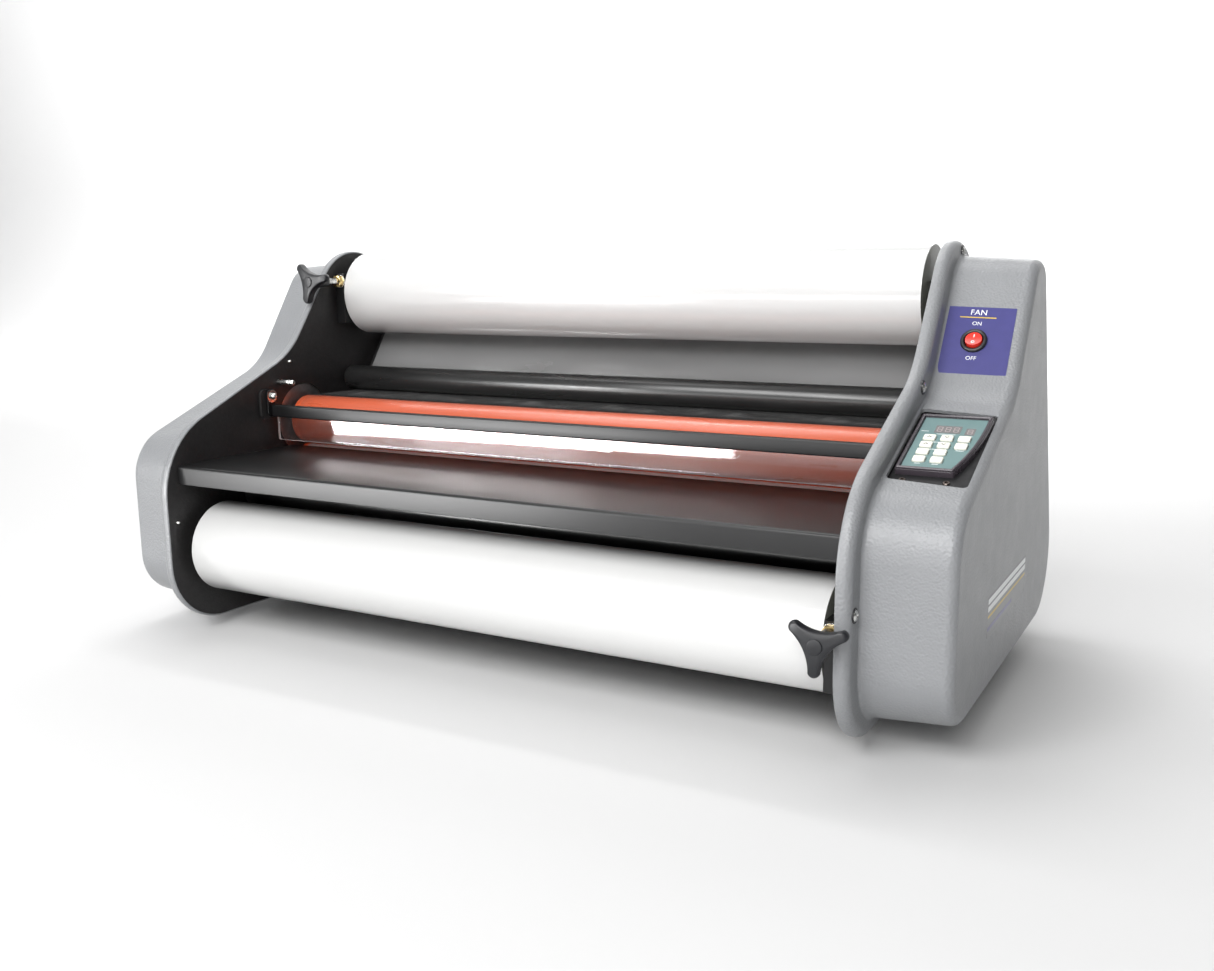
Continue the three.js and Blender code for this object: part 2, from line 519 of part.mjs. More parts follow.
// Spindle blocks: a split friction clamp at the knob's end, an open-topped rest at the other.
function brakeClamp(axis, side) {
  const [y, z] = axis;
  const shape = polygon([[y - 46, z - 34], [y + 25, z - 34], [y + 25, z + 24], [y + 1.5, z + 24],
    [y + 1.5, z + 5], [y - 1.5, z + 5], [y - 1.5, z + 24], [y - 46, z + 24]]);
  const bore = rod(-400, 400, SPINDLE.end + GAP, axis, 16);
  const stud = new THREE.CylinderGeometry(KNOB.stud + CLEAR_BORE, KNOB.stud + CLEAR_BORE, 120, 12);
  stud.translate(side * KNOB.x, y, z + KNOB.rise);
  const x = side > 0 ? [BLOCK_IN, PLATE_IN - GAP] : [-PLATE_IN + GAP, -BLOCK_IN];
  return cut(sideExtrude(shape, x[0], x[1]), bore, stud);
}
function shaftRest(axis, side) {
  const [y, z] = axis;
  const r = SPINDLE.end + GAP;
  const [half, low, high] = [24, z - 26, z + 14];
  const slot = arcPoints(axis, r, Math.PI, 2 * Math.PI, 10).map((p) => [p.x, p.y]);
  const shape = polygon([[y - half, high], [y - half, low], [y + half, low], [y + half, high],
    [y + r, high], ...slot.reverse(), [y - r, high]]);
  const x = side > 0 ? [BLOCK_IN, PLATE_IN - GAP] : [-PLATE_IN + GAP, -BLOCK_IN];
  return sideExtrude(shape, x[0], x[1]);
}
// Three-lobed knob: concave flanks between round-tipped lobes, a tapering hub and a threaded stud.
function knob(axis, side, face, lobeAngle) {
  const shape = new THREE.Shape();
  const tip = 4.5;
  const centre = (k) => {
    const angle = lobeAngle + k * 2 * Math.PI / 3;
    return [(KNOB.r - tip) * Math.cos(angle), (KNOB.r - tip) * Math.sin(angle), angle];
  };
  for (let k = 0; k < 3; k++) {
    const [cx, cz, angle] = centre(k);
    shape.absarc(cx, cz, tip, angle - 1.1, angle + 1.1, false);
    const [nx, nz, next] = centre(k + 1);
    const middle = angle + Math.PI / 3;
    shape.quadraticCurveTo(5.5 * Math.cos(middle), 5.5 * Math.sin(middle),
      nx + tip * Math.cos(next - 1.1), nz + tip * Math.sin(next - 1.1));
  }
  const lobes = frontExtrude(shape, face + KNOB.deep, KNOB.deep, 1);
  const hub = new THREE.CylinderGeometry(5.5, 8.5, KNOB.hub - KNOB.deep + 2, 14);
  hub.translate(0, face + KNOB.deep - 2 + (KNOB.hub - KNOB.deep + 2) / 2, 0);
  const studEnd = axis[0] + 24;
  const stud = new THREE.CylinderGeometry(KNOB.stud, KNOB.stud, studEnd - face - 10, 12);
  stud.translate(0, (studEnd + face + 10) / 2, 0);
  return join(lobes, hub, stud).translate(side * KNOB.x, 0, axis[1] + KNOB.rise);
}
const UPPER_FACE = UPPER_ROLL[0] - 102;
const LOWER_FACE = LOWER_ROLL[0] - 86.4;
add('upper_brake_clamp', brakeClamp(UPPER_ROLL, -1), MAT.satinBlack);
add('upper_shaft_rest', shaftRest(UPPER_ROLL, 1), MAT.satinBlack);
add('lower_brake_clamp', brakeClamp(LOWER_ROLL, 1), MAT.satinBlack);
add('lower_shaft_rest', shaftRest(LOWER_ROLL, -1), MAT.satinBlack);
add('upper_brake_knob', knob(UPPER_ROLL, -1, UPPER_FACE, 2.3), MAT.plastic);
add('lower_brake_knob', knob(LOWER_ROLL, 1, LOWER_FACE, 0.44), MAT.plastic);

// Film web: off the back of the upper roll, under the idler bar, over the heated roller towards the nip.
function filmWeb() {
  const lift = 0.6;
  const [a, ra] = [UPPER_ROLL, ROLL.r + lift];
  const [b, rb] = [IDLER.up, IDLER.r + lift];
  const [c, rc] = [HEAT_UP, HEAT.r + lift];
  const angleOf = (p, q) => Math.atan2(q[1] - p[1], q[0] - p[0]);
  const span = (p, q) => Math.hypot(q[0] - p[0], q[1] - p[1]);
  const off = angleOf(a, b) + Math.acos((ra - rb) / span(a, b));
  const under = angleOf(b, c) + Math.acos((rb + rc) / span(b, c));
  const top = under + Math.PI;
  const nip = 1.5 * Math.PI - 0.35;
  const path = [...arcPoints(a, ra, off + 0.08, off, 1), ...arcPoints(b, rb, off, under, 8),
    ...arcPoints(c, rc, top, nip, 16)];
  return sideExtrude(bandShape(path, 0.5), -ROLL.half, ROLL.half);
}
add('upper_film_web', filmWeb(), MAT.web);

// Feed table: folded sheet on two angle rails.
const T = TABLE;
const tableShape = polygon([[T.front, T.top - T.lip], [T.front + T.sheet, T.top - T.lip],
  [T.front + T.sheet, T.top - T.sheet], [T.rear, T.top - T.sheet], [T.rear, T.top], [T.front + 1, T.top],
  [T.front, T.top - 1]]);
const lips = [-1, 1].map((side) => {
  return box(side * 337 - 1, side * 337 + 1, T.front + 6, T.rear - 5, T.top - 14, T.top - T.sheet + 0.5);
});
add('feed_table', join(sideExtrude(tableShape, -T.half, T.half), ...lips), MAT.satinBlack);
[-1, 1].forEach((side) => {
  const top = T.top - T.sheet - GAP;
  const out = side * (PLATE_IN - GAP);
  const shape = new THREE.Shape([[out, top], [out - side * 16, top], [out - side * 16, top - 2],
    [out - side * 2, top - 2], [out - side * 2, top - 18], [out, top - 18]]
    .map(([x, z]) => new THREE.Vector2(x, z)));
  add(side < 0 ? 'left_table_rail' : 'right_table_rail',
    frontExtrude(shape, T.rear - 8, 150), MAT.blackSteel);
});

// Heat shield: a painted bar with end tabs and a clear panel behind it, hung from two brackets.
const S = SHIELD;
const shieldBack = S.front + S.barT;
const tabs = [-1, 1].map((side) => {
  const shape = roundedRect(SHIELD_PIVOT[0] + 0.5, SHIELD_PIVOT[1] - 8, 13, 30, 5);
  return sideExtrude(shape, side * 351.5 - 1, side * 351.5 + 1, 4);
});
add('shield_bar',
  join(box(-352.5, 352.5, S.front, shieldBack, S.barBottom, S.barTop), ...tabs), MAT.satinBlack);
add('shield_panel',
  box(-350, 350, shieldBack + GAP, shieldBack + GAP + S.panelT, S.panelBottom, S.barTop - 1),
  MAT.acrylic);
[-1, 1].forEach((side) => {
  const shape = roundedRect(SHIELD_PIVOT[0] - 5, SHIELD_PIVOT[1] - 9, 17, 33, 6);
  const x = side * (PLATE_IN - GAP - 1.6);
  add(side < 0 ? 'left_shield_bracket' : 'right_shield_bracket', sideExtrude(shape, x - 1.6, x + 1.6, 5),
    MAT.blackSteel);
});

// Keypad: a recess plate with a raised bezel, the face plate in it and ten keys through the face.
function bezelShape(grow) {
  const shape = new THREE.Shape();
  shape.moveTo(-24.3 - grow, 41.5 + grow);
  shape.lineTo(-24.3 - grow, -40.5 - grow);
  shape.lineTo(15.4 + 0.7 * grow, -40.5 - grow);
  shape.quadraticCurveTo(27.6 + grow, -5, 26.9 + grow, 41.5 + grow);
  shape.closePath();
  return shape;
}
const plateW = KEYPAD.w - 2 * GAP;
const recess = slopeExtrude(roundedRect(0, keypadMid, plateW, keypadTall - 2 * GAP, 3.7), -4.6, -2.6);
const bezel = slopeExtrude(bezelShape(3.5), -3, 4.4, 5);
const window = slopeExtrude(bezelShape(0), -9, 9, 5);
add('keypad_housing', onSlope(cut(join(recess, bezel), window), KEYPAD), MAT.plastic);
const keySpots = KEY.rows.flatMap((v, row) =>
  KEY.cols.filter((u, col) => row < 2 || col < 2).map((u) => [u, v]));
const faceShape = bezelShape(-GAP);
keySpots.forEach(([u, v]) => {
  faceShape.holes.push(chamferedRect(u, v, KEY.w + 0.7, KEY.h + 0.7, KEY.chamfer));
});
add('keypad_face', onSlope(slopeExtrude(faceShape, 0.6, 2.2, 5), KEYPAD), MAT.teal);
const keyNames = ['preheat_up', 'preheat_down', 'measure', 'speed_up', 'speed_down',
  'standby', 'heat', 'cold', 'run', 'stop'];
keySpots.forEach(([u, v], i) => {
  const cap = slopeExtrude(chamferedRect(u, v, KEY.w, KEY.h, KEY.chamfer), KEY.bottom, KEY.top);
  add(`key_${keyNames[i]}`, onSlope(cap, KEYPAD), MAT.key);
});

// Fan switch: a round bezel and barrel with a leaning rocker in it.
const ring = circle(new THREE.Shape(), 0, 0, 11.5);
ring.holes.push(circle(new THREE.Path(), 0, 0, 8.1));
const barrel = circle(new THREE.Shape(), 0, 0, 9.9);
barrel.holes.push(circle(new THREE.Path(), 0, 0, 8.7));
add('fan_switch_bezel',
  onSlope(join(slopeExtrude(ring, 1.1, 3.4, 10), slopeExtrude(barrel, -9, 1.6, 10)), SWITCH),
  MAT.plastic);
const PIVOT_N = 1.2;
const rockerDisc = slopeExtrude(circle(new THREE.Shape(), 0, 0, 7.4), -3.4, 4.6, 8);
const rockerRound = new THREE.CylinderGeometry(7.4, 7.4, 30, 20).rotateZ(Math.PI / 2);
const rockerBlock = common(rockerDisc.translate(0, 0, -PIVOT_N), rockerRound);
const rocker = rockerBlock.rotateX(-0.2).translate(0, 0, PIVOT_N);
add('fan_switch_rocker', onSlope(rocker, SWITCH), MAT.red);

export default laminator;
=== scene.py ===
import math

import bmesh
import bpy
from mathutils import Matrix, Vector


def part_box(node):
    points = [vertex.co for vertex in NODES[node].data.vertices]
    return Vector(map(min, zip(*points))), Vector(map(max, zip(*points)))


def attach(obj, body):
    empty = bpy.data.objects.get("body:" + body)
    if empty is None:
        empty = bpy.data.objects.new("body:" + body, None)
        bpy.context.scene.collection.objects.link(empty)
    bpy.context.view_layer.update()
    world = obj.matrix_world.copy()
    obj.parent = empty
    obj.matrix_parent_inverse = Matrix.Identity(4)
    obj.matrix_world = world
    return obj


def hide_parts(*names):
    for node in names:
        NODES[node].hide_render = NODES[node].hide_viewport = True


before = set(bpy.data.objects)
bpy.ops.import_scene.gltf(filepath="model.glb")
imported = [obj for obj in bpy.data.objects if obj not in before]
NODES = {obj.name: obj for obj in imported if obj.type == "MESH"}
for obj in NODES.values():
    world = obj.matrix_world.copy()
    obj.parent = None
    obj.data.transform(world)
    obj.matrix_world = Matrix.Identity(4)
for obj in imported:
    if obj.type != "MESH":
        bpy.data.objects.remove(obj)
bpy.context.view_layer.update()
MM = 0.001

# ---- sizes, in millimetres, in the frame's own axes ----


def span(node):
    """Lowest and highest corner of a CAD node, in millimetres."""
    low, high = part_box(node)
    return low / MM, high / MM


def axis_of(node):
    """(y, z) of the axis of a round CAD node that lies along X."""
    low, high = span(node)
    return ((low.y + high.y) / 2, (low.z + high.z) / 2)


PLATE_IN = span("right_side_plate")[0].x
PLATE_OUT = span("right_side_plate")[1].x
COVER_IN = span("right_side_cover")[0].x
COVER_OUT = span("right_side_cover")[1].x
RIM_OUT = COVER_IN + 9.2
UPPER_ROLL, LOWER_ROLL = axis_of("upper_film_roll"), axis_of("lower_film_roll")
HEAT_UP, HEAT_LOW = axis_of("upper_roller_sleeve"), axis_of("lower_roller_sleeve")
PULL_UP, PULL_LOW = axis_of("upper_pull_roller"), axis_of("lower_pull_roller")
IDLER_UP, IDLER_LOW = axis_of("upper_idler_bar"), axis_of("lower_idler_bar")
ROLL_R, HEAT_R, IDLER_R = 47.75, 27.3, 14.3
ROLL_HALF = span("upper_film_roll")[1].x
NIP_Z = (HEAT_UP[1] + HEAT_LOW[1]) / 2

# Side outlines: corners (y, z, fillet radius), counter-clockwise from the front foot.
FLANGE = [(-225.5, 10, 68), (290.2, 10, 84), (127.3, 403.5, 66), (48.5, 403.5, 66), (-35.5, 289, 100),
          (-225.5, 207, 90)]
BULGE = [(-199.5, 27, 50), (259.1, 27, 65.6), (110.1, 387, 28), (65.5, 387, 40), (-9.5, 274, 80),
         (-199.5, 198, 55)]
KEY_COLS, KEY_ROWS = (-12.75, 1.15, 14.95), (7, -4.5, -15.8, -27.3)
KEY_NAMES = ("preheat_up", "preheat_down", "measure", "speed_up", "speed_down", "standby", "heat", "cold",
             "run", "stop")
KEY_SPOTS = [(u, v) for row, v in enumerate(KEY_ROWS) for col, u in enumerate(KEY_COLS) if row < 2 or col < 2]
KEY_TOP = 4.1


# ---- node materials ----


class Paint:
    """A procedural material built round one Principled shader, on object coordinates in metres."""

    def __init__(self, name, color, rough, metal=0.0, alpha=1.0, coat=0.0, coat_rough=0.1):
        self.mat = bpy.data.materials.new(name)
        self.mat.use_nodes = True
        self.nodes = self.mat.node_tree.nodes
        self.link = self.mat.node_tree.links.new
        self.shader = self.nodes["Principled BSDF"]
        self.set("Base Color", (*color, 1))
        self.set("Roughness", rough)
        self.set("Metallic", metal)
        self.set("Alpha", alpha)
        self.set("Coat Weight", coat)
        self.set("Coat Roughness", coat_rough)
        self.color, self.rough = color, rough
        self.mat.diffuse_color = (*color, 1)
        self.place = self.node("TexCoord").outputs["Object"]
        self.bump = None

    def set(self, socket, value):
        self.shader.inputs[socket].default_value = value

    def node(self, kind, **values):
        """A new shader node with some of its inputs set."""
        node = self.nodes.new("ShaderNode" + kind)
        for socket, value in values.items():
            node.inputs[socket.replace("_", " ")].default_value = value
        return node

    def stretched(self, scale):
        node = self.node("Mapping", Scale=scale)
        self.link(self.place, node.inputs["Vector"])
        return node.outputs["Vector"]

    def noise(self, size_mm, detail=3.0, stretch=None, distort=0.0):
        node = self.node("TexNoise", Scale=1 / (size_mm * MM), Detail=detail, Distortion=distort)
        self.link(self.stretched(stretch) if stretch else self.place, node.inputs["Vector"])
        return node.outputs["Fac"]

    def cells(self, size_mm, feature="F1", randomness=1.0):
        node = self.node("TexVoronoi", Scale=1 / (size_mm * MM), Randomness=randomness)
        node.feature = feature
        self.link(self.place, node.inputs["Vector"])
        return node.outputs["Distance"]

    def remap(self, value, low, high, to_low, to_high):
        node = self.node("MapRange", From_Min=low, From_Max=high, To_Min=to_low, To_Max=to_high)
        self.link(value, node.inputs["Value"])
        return node.outputs["Result"]

    def math(self, how, first, second):
        node = self.node("Math")
        node.operation = how
        for socket, value in zip(node.inputs, (first, second)):
            if isinstance(value, (int, float)):
                socket.default_value = value
            else:
                self.link(value, socket)
        return node.outputs[0]

    def blend_colors(self, factor, first, second):
        node = self.node("Mix")
        node.data_type = "RGBA"
        for socket, value in ((node.inputs["A"], first), (node.inputs["B"], second)):
            socket.default_value = (*value, 1)
        self.link(factor, node.inputs["Factor"])
        return node.outputs["Result"]

    def mottle(self, size_mm, change, stretch=None):
        """Soft colour variation, as a share of the base colour."""
        dark = [c * (1 - change) for c in self.color]
        light = [min(1, c * (1 + change)) for c in self.color]
        factor = self.remap(self.noise(size_mm, 4, stretch), 0.3, 0.7, 0, 1)
        self.color_from(factor, dark, light)
        return self

    def smudge(self, size_mm, change, stretch=None):
        factor = self.remap(self.noise(size_mm, 5, stretch), 0.25, 0.75, -change, change)
        self.link(self.math("ADD", factor, self.rough), self.shader.inputs["Roughness"])
        return self

    def relief(self, height, depth_mm, strength=1.0):
        node = self.node("Bump", Strength=strength, Distance=depth_mm * MM)
        self.link(height, node.inputs["Height"])
        if self.bump:
            self.link(self.bump, node.inputs["Normal"])
        self.bump = node.outputs["Normal"]
        self.link(self.bump, self.shader.inputs["Normal"])
        return self

    def coordinate(self, name):
        split = self.node("SeparateXYZ")
        self.link(self.place, split.inputs[0])
        return split.outputs[name]

    def radial(self, axis):
        """Distance from an axis along X, in metres."""
        squares = [self.math("POWER", self.math("SUBTRACT", self.coordinate(name), middle * MM), 2.0)
                   for name, middle in zip("YZ", axis)]
        return self.math("SQRT", self.math("ADD", *squares), 0.0)

    def color_from(self, factor, first, second):
        self.link(self.blend_colors(factor, first, second), self.shader.inputs["Base Color"])


def cover_paint():
    p = Paint("moulded_cover_plastic", (0.232, 0.238, 0.247), 0.4, coat=0.15, coat_rough=0.28)
    p.mottle(60, 0.03).smudge(18, 0.05)
    grain = p.remap(p.cells(1.9, "SMOOTH_F1"), 0.1, 0.75, 1, 0)
    p.relief(grain, 0.36, 0.8)
    p.relief(p.noise(0.8, 3), 0.08, 0.5)
    return p.mat


def plain_paint(name, color, rough, mottle, smudge, *reliefs, more=None, **looks):
    """Mottled and smudged, with reliefs as (noise settings, depth in mm, strength) and more sockets set."""
    p = Paint(name, color, rough, **looks)
    p.mottle(*mottle).smudge(*smudge)
    for noise, depth_mm, strength in reliefs:
        p.relief(p.noise(*noise), depth_mm, strength)
    for socket, value in (more or {}).items():
        p.set(socket, value)
    return p.mat


def film_end_paint(name, axis):
    p = Paint(name, (0.5, 0.48, 0.41), 0.35, coat=0.2)
    distance = p.radial(axis)
    layers = p.node("TexNoise", Scale=2600, Detail=4)
    layers.noise_dimensions = "1D"
    p.link(distance, layers.inputs["W"])
    wound = p.remap(layers.outputs["Fac"], 0.3, 0.7, 0, 1)
    p.color_from(wound, (0.1, 0.105, 0.09), (0.3, 0.31, 0.27))
    p.relief(wound, 0.12, 0.6)
    return p.mat


def film_web_paint():
    """Clear film: hazed and grey where it hangs free behind, clearer where it lies on the heated roller."""
    p = Paint("clear_film_web", (0.22, 0.22, 0.22), 0.24, coat=0.5, coat_rough=0.08)
    p.mottle(160, 0.14, (0.4, 1, 1.2)).smudge(40, 0.05, (0.3, 1, 1))
    hung = p.remap(p.coordinate("Z"), 0.238, 0.262, 0.0, 1.0)
    roller = HEAT_UP[0] * MM
    off_roller = p.remap(p.coordinate("Y"), roller + 0.004, roller + 0.02, 0.0, 0.2)
    hidden = p.math("ADD", p.math("MULTIPLY", hung, 0.58), p.math("ADD", off_roller, 0.05))
    p.link(hidden, p.shader.inputs["Alpha"])
    streak = p.noise(26, 3, (0.5, 1.6, 0.8), distort=1.2)
    p.relief(streak, 0.5, 0.3)
    return p.mat


def plain_web_paint():
    p = Paint("clear_film_lower_web", (0.42, 0.42, 0.42), 0.2, alpha=0.4, coat=0.4)
    p.mottle(80, 0.1).relief(p.noise(30, 2, (0.4, 1, 1)), 0.4, 0.3)
    return p.mat


def steel_paint(name, color, rough, stretch=(1, 1, 1)):
    return plain_paint(name, color, rough, (6, 0.1, stretch), (5, 0.1, stretch),
                       ((0.5, 3, stretch), 0.02, 0.5), metal=1.0)


def plastic_paint(name, color, rough=0.42, grain_mm=0.9, depth=0.05, coat=0.0):
    return plain_paint(name, color, rough, (12, 0.08), (9, 0.08), ((grain_mm, 3), depth, 0.5), coat=coat)


def print_paint(name, color, rough=0.38):
    return plain_paint(name, color, rough, (7, 0.04), (10, 0.02), ((0.5, 2), 0.01, 0.3), coat=0.15)


def acrylic_paint():
    """Clear sheet: what is behind it shows through, under a mirror's share that grows at a slant."""
    p = Paint("clear_acrylic", (0.93, 0.92, 0.93), 0.04, metal=1.0)
    p.mottle(70, 0.03).smudge(50, 0.015)
    clear = p.node("BsdfTransparent", Color=(0.95, 0.93, 0.93, 1))
    slant = p.node("Fresnel", IOR=1.49)
    dust = p.remap(p.cells(22), 0.0, 0.03, 0.25, 0)
    share = p.math("ADD", p.math("MULTIPLY", slant.outputs["Fac"], 1.3), p.math("ADD", dust, 0.008))
    mix = p.node("MixShader")
    p.link(share, mix.inputs["Fac"])
    p.link(clear.outputs["BSDF"], mix.inputs[1])
    p.link(p.shader.outputs["BSDF"], mix.inputs[2])
    p.link(mix.outputs["Shader"], p.nodes["Material Output"].inputs["Surface"])
    return p.mat


# The sheet's cut edges are real edge faces. Their light pinkish colour is a painted glow that stands in for
# light caught in the clear edge.
def edge_glow_paint():
    p = Paint("acrylic_rim_painted_glow", (0.66, 0.6, 0.58), 0.12, alpha=0.75, coat=0.6)
    p.mottle(15, 0.15).relief(p.noise(3, 2), 0.05, 0.4)
    return p.mat


def board_paint():
    p = Paint("circuit_board", (0.02, 0.12, 0.05), 0.4, coat=0.4)
    tracks = p.remap(p.cells(4, "F1", 0.2), 0.1, 0.5, 0, 1)
    p.color_from(tracks, (0.03, 0.17, 0.07), (0.015, 0.09, 0.035))
    p.relief(tracks, 0.05, 0.5)
    return p.mat


def backdrop_paint():
    """Pale grey round the machine, white further back."""
    p = Paint("pale_backdrop", (0.62, 0.62, 0.62), 0.8)
    far = p.remap(p.coordinate("Y"), 0.8, 2.6, 0, 1)
    p.color_from(far, (0.62, 0.62, 0.62), (0.88, 0.88, 0.88))
    return p.mat


M = {
    "cover": cover_paint(),
    "wrinkle": plain_paint("wrinkle_powder_coat", (0.012, 0.011, 0.0115), 0.5, (4, 0.25), (25, 0.08),
                           ((2.6, 4, None, 0.6), 0.35, 0.8), ((0.9, 2), 0.1, 0.4)),
    "satin": plain_paint("satin_black_enamel", (0.006, 0.006, 0.0065), 0.33, (30, 0.1), (60, 0.01),
                         ((1.8, 2), 0.005, 0.2), more={"Specular IOR Level": 0.4}),
    "idler": plain_paint("anodised_idler_black", (0.014, 0.014, 0.014), 0.32, (20, 0.2, (0.15, 1, 1)),
                         (12, 0.1, (0.1, 1, 1)), ((1.2, 3, (0.35, 1, 1)), 0.06, 0.55),
                         coat=0.3, coat_rough=0.2),
    "film": plain_paint("wound_film_side", (0.65, 0.65, 0.645), 0.2, (240, 0.02, (0.3, 1, 1)),
                        (35, 0.05, (0.2, 1, 1)), ((70, 2, (0.25, 1, 1)), 0.25, 0.35),
                        coat=0.5, coat_rough=0.06,
                        more={"Subsurface Weight": 0.12, "Subsurface Radius": (0.006, 0.006, 0.006)}),
    "upper_end": film_end_paint("upper_roll_end", UPPER_ROLL),
    "lower_end": film_end_paint("lower_roll_end", LOWER_ROLL),
    "web": film_web_paint(),
    "plain_web": plain_web_paint(),
    "silicone": plain_paint("orange_silicone", (0.62, 0.1, 0.03), 0.3, (90, 0.07, (0.4, 1, 1)),
                            (30, 0.07, (0.3, 1, 1)), ((0.9, 3), 0.03, 0.4), coat=0.3,
                            more={"Subsurface Weight": 0.04, "Subsurface Radius": (0.003, 0.001, 0.0006)}),
    "rubber": plain_paint("ground_black_rubber", (0.02, 0.02, 0.02), 0.72, (10, 0.2), (8, 0.1),
                          ((0.8, 4), 0.08, 0.7)),
    "steel": steel_paint("turned_steel", (0.52, 0.52, 0.53), 0.3, (0.1, 1, 1)),
    "bearing": steel_paint("bearing_plate_steel", (0.45, 0.45, 0.46), 0.42),
    "dark_steel": steel_paint("blackened_steel", (0.12, 0.1, 0.09), 0.35),
    "zinc": steel_paint("zinc_plated_steel", (0.68, 0.68, 0.66), 0.24),
    "brass": steel_paint("brass", (0.66, 0.49, 0.22), 0.28),
    "core": plastic_paint("black_core_tube", (0.015, 0.015, 0.016), 0.4),
    "knob": plastic_paint("knob_charcoal_plastic", (0.0085, 0.009, 0.0115), 0.42, 1.1, 0.09),
    "plastic": plastic_paint("black_moulded_plastic", (0.014, 0.014, 0.016), 0.38),
    "recess": plastic_paint("keypad_recess_black", (0.005, 0.005, 0.006), 0.62, 2.0, 0.03),
    "bezel": plastic_paint("keypad_bezel_brown", (0.045, 0.036, 0.045), 0.3, 0.8, 0.02, coat=0.5),
    "acrylic": acrylic_paint(),
    "edge_glow": edge_glow_paint(),
    "face": print_paint("keypad_film_teal", (0.115, 0.205, 0.205)),
    "key": print_paint("key_off_white", (0.8, 0.79, 0.7), 0.4),
    "ink": print_paint("black_ink", (0.02, 0.02, 0.025)),
    "white_ink": print_paint("white_ink", (0.8, 0.82, 0.82)),
    "display": print_paint("display_window", (0.17, 0.165, 0.165), 0.25),
    "segment": print_paint("display_segments", (0.33, 0.28, 0.28), 0.3),
    "label": print_paint("fan_label_blue", (0.055, 0.053, 0.195), 0.3),
    "yellow": print_paint("yellow_ink", (0.62, 0.43, 0.05)),
    "strip": print_paint("decal_grey", (0.2, 0.205, 0.21)),
    "red": print_paint("rocker_red", (0.75, 0.035, 0.022), 0.22),
    "board": board_paint(),
    "backdrop": backdrop_paint(),
}

# ---- mesh helpers: points are in millimetres ----
SIDES = ((-1, "left"), (1, "right"))


def side_at(a, b, c):
    """Drawn in (y, z), thick along x."""
    return (c, a, b)


def front_at(a, b, c):
    """Drawn in (x, z), thick towards the front."""
    return (a, -c, b)


def slope_at(at, rise):
    """Drawn in (u, v), thick out of a slope of the right cover that rises by so much to the rear."""
    origin, tilt = Vector(at), math.atan(rise)
    up = Vector((0, math.cos(tilt), math.sin(tilt)))
    out = Vector((0, -math.sin(tilt), math.cos(tilt)))

    def place(u, v, n):
        return origin + Vector((u, 0, 0)) + up * v + out * n

    return place


ON_KEYPAD = slope_at((402.75, -97.5, 239.0), 0.4)
ON_SWITCH = slope_at((398.0, 17.6, 315.2), 1.5)


def in_scene(name, data):
    """A new object that shows a mesh, curve, light or camera."""
    thing = bpy.data.objects.new(name, data)
    bpy.context.scene.collection.objects.link(thing)
    return thing


def build(name, points, faces, paint):
    mesh = bpy.data.meshes.new(name)
    mesh.from_pydata([Vector(p) * MM for p in points], [], faces)
    shape = bmesh.new()
    shape.from_mesh(mesh)
    bmesh.ops.remove_doubles(shape, verts=shape.verts, dist=1e-6)
    bmesh.ops.recalc_face_normals(shape, faces=shape.faces)
    shape.to_mesh(mesh)
    shape.free()
    mesh.materials.append(M[paint])
    return in_scene(name, mesh)


def settle(piece, body, replaces=None, sharp=38):
    """Sets a piece's shading, and makes it ride on its body."""
    piece.data.shade_smooth()
    piece.data.set_sharp_from_angle(angle=math.radians(sharp))
    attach(piece, body)
    if replaces:
        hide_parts(replaces)
    return piece


def round_edges(piece, width):
    bevel = piece.modifiers.new("edge_round", "BEVEL")
    bevel.width = width * MM
    bevel.segments = 2
    bevel.limit_method = "ANGLE"
    bevel.angle_limit = math.radians(40)
    piece.modifiers.new("even_shading", "WEIGHTED_NORMAL").keep_sharp = False


def polar(r, angle, centre=(0, 0)):
    return (centre[0] + r * math.cos(angle), centre[1] + r * math.sin(angle))


def skin(count, rows, radii=None):
    """Quads between rings of count points each, as triangles where a ring's radius is nought."""
    faces = []
    for i in range(rows - 1):
        for k in range(count):
            a, b = i * count + k, i * count + (k + 1) % count
            quad = [a, b, b + count, a + count]
            if radii and radii[i] == 0:
                quad = [a, b + count, a + count]
            elif radii and radii[i + 1] == 0:
                quad = [a, b, a + count]
            faces.append(quad)
    return faces


def turned(name, profile, place, paint, segments):
    """A round piece about the n axis of a placing function; the profile's points are (r, n)."""
    points = [place(*point, n) for r, n in profile for point in circle(0, 0, r, segments)]
    return build(name, points, skin(segments, len(profile), [r for r, _ in profile]), paint)


def lathe(name, profile, axis, paint, segments):
    """A round piece about an axis along X; the profile's points are (x, r)."""
    def place(a, b, x):
        return (x, axis[0] + a, axis[1] + b)

    return turned(name, [(r, x) for x, r in profile], place, paint, segments)


def both_ends(half, closed=False):
    """A profile along X from its left half; a closed one comes back to its first point."""
    return half + [(-x, r) for x, r in reversed(half)] + half[:closed]


def add_paint(piece, paint, where):
    """Gives a piece a second paint on the faces whose normal passes a test."""
    piece.data.materials.append(M[paint])
    for face in piece.data.polygons:
        face.material_index = int(where(face.normal))


def joined(name, pieces):
    """One piece from several that touch or stand close."""
    shape = bmesh.new()
    slots = []
    for piece in pieces:
        first = len(shape.faces)
        shape.from_mesh(piece.data)
        shape.faces.ensure_lookup_table()
        for face in shape.faces[first:]:
            material = piece.data.materials[face.material_index]
            if material not in slots:
                slots.append(material)
            face.material_index = slots.index(material)
        mesh = piece.data
        bpy.data.objects.remove(piece)
        bpy.data.meshes.remove(mesh)
    mesh = bpy.data.meshes.new(name)
    shape.to_mesh(mesh)
    shape.free()
    for material in slots:
        mesh.materials.append(material)
    return in_scene(name, mesh)


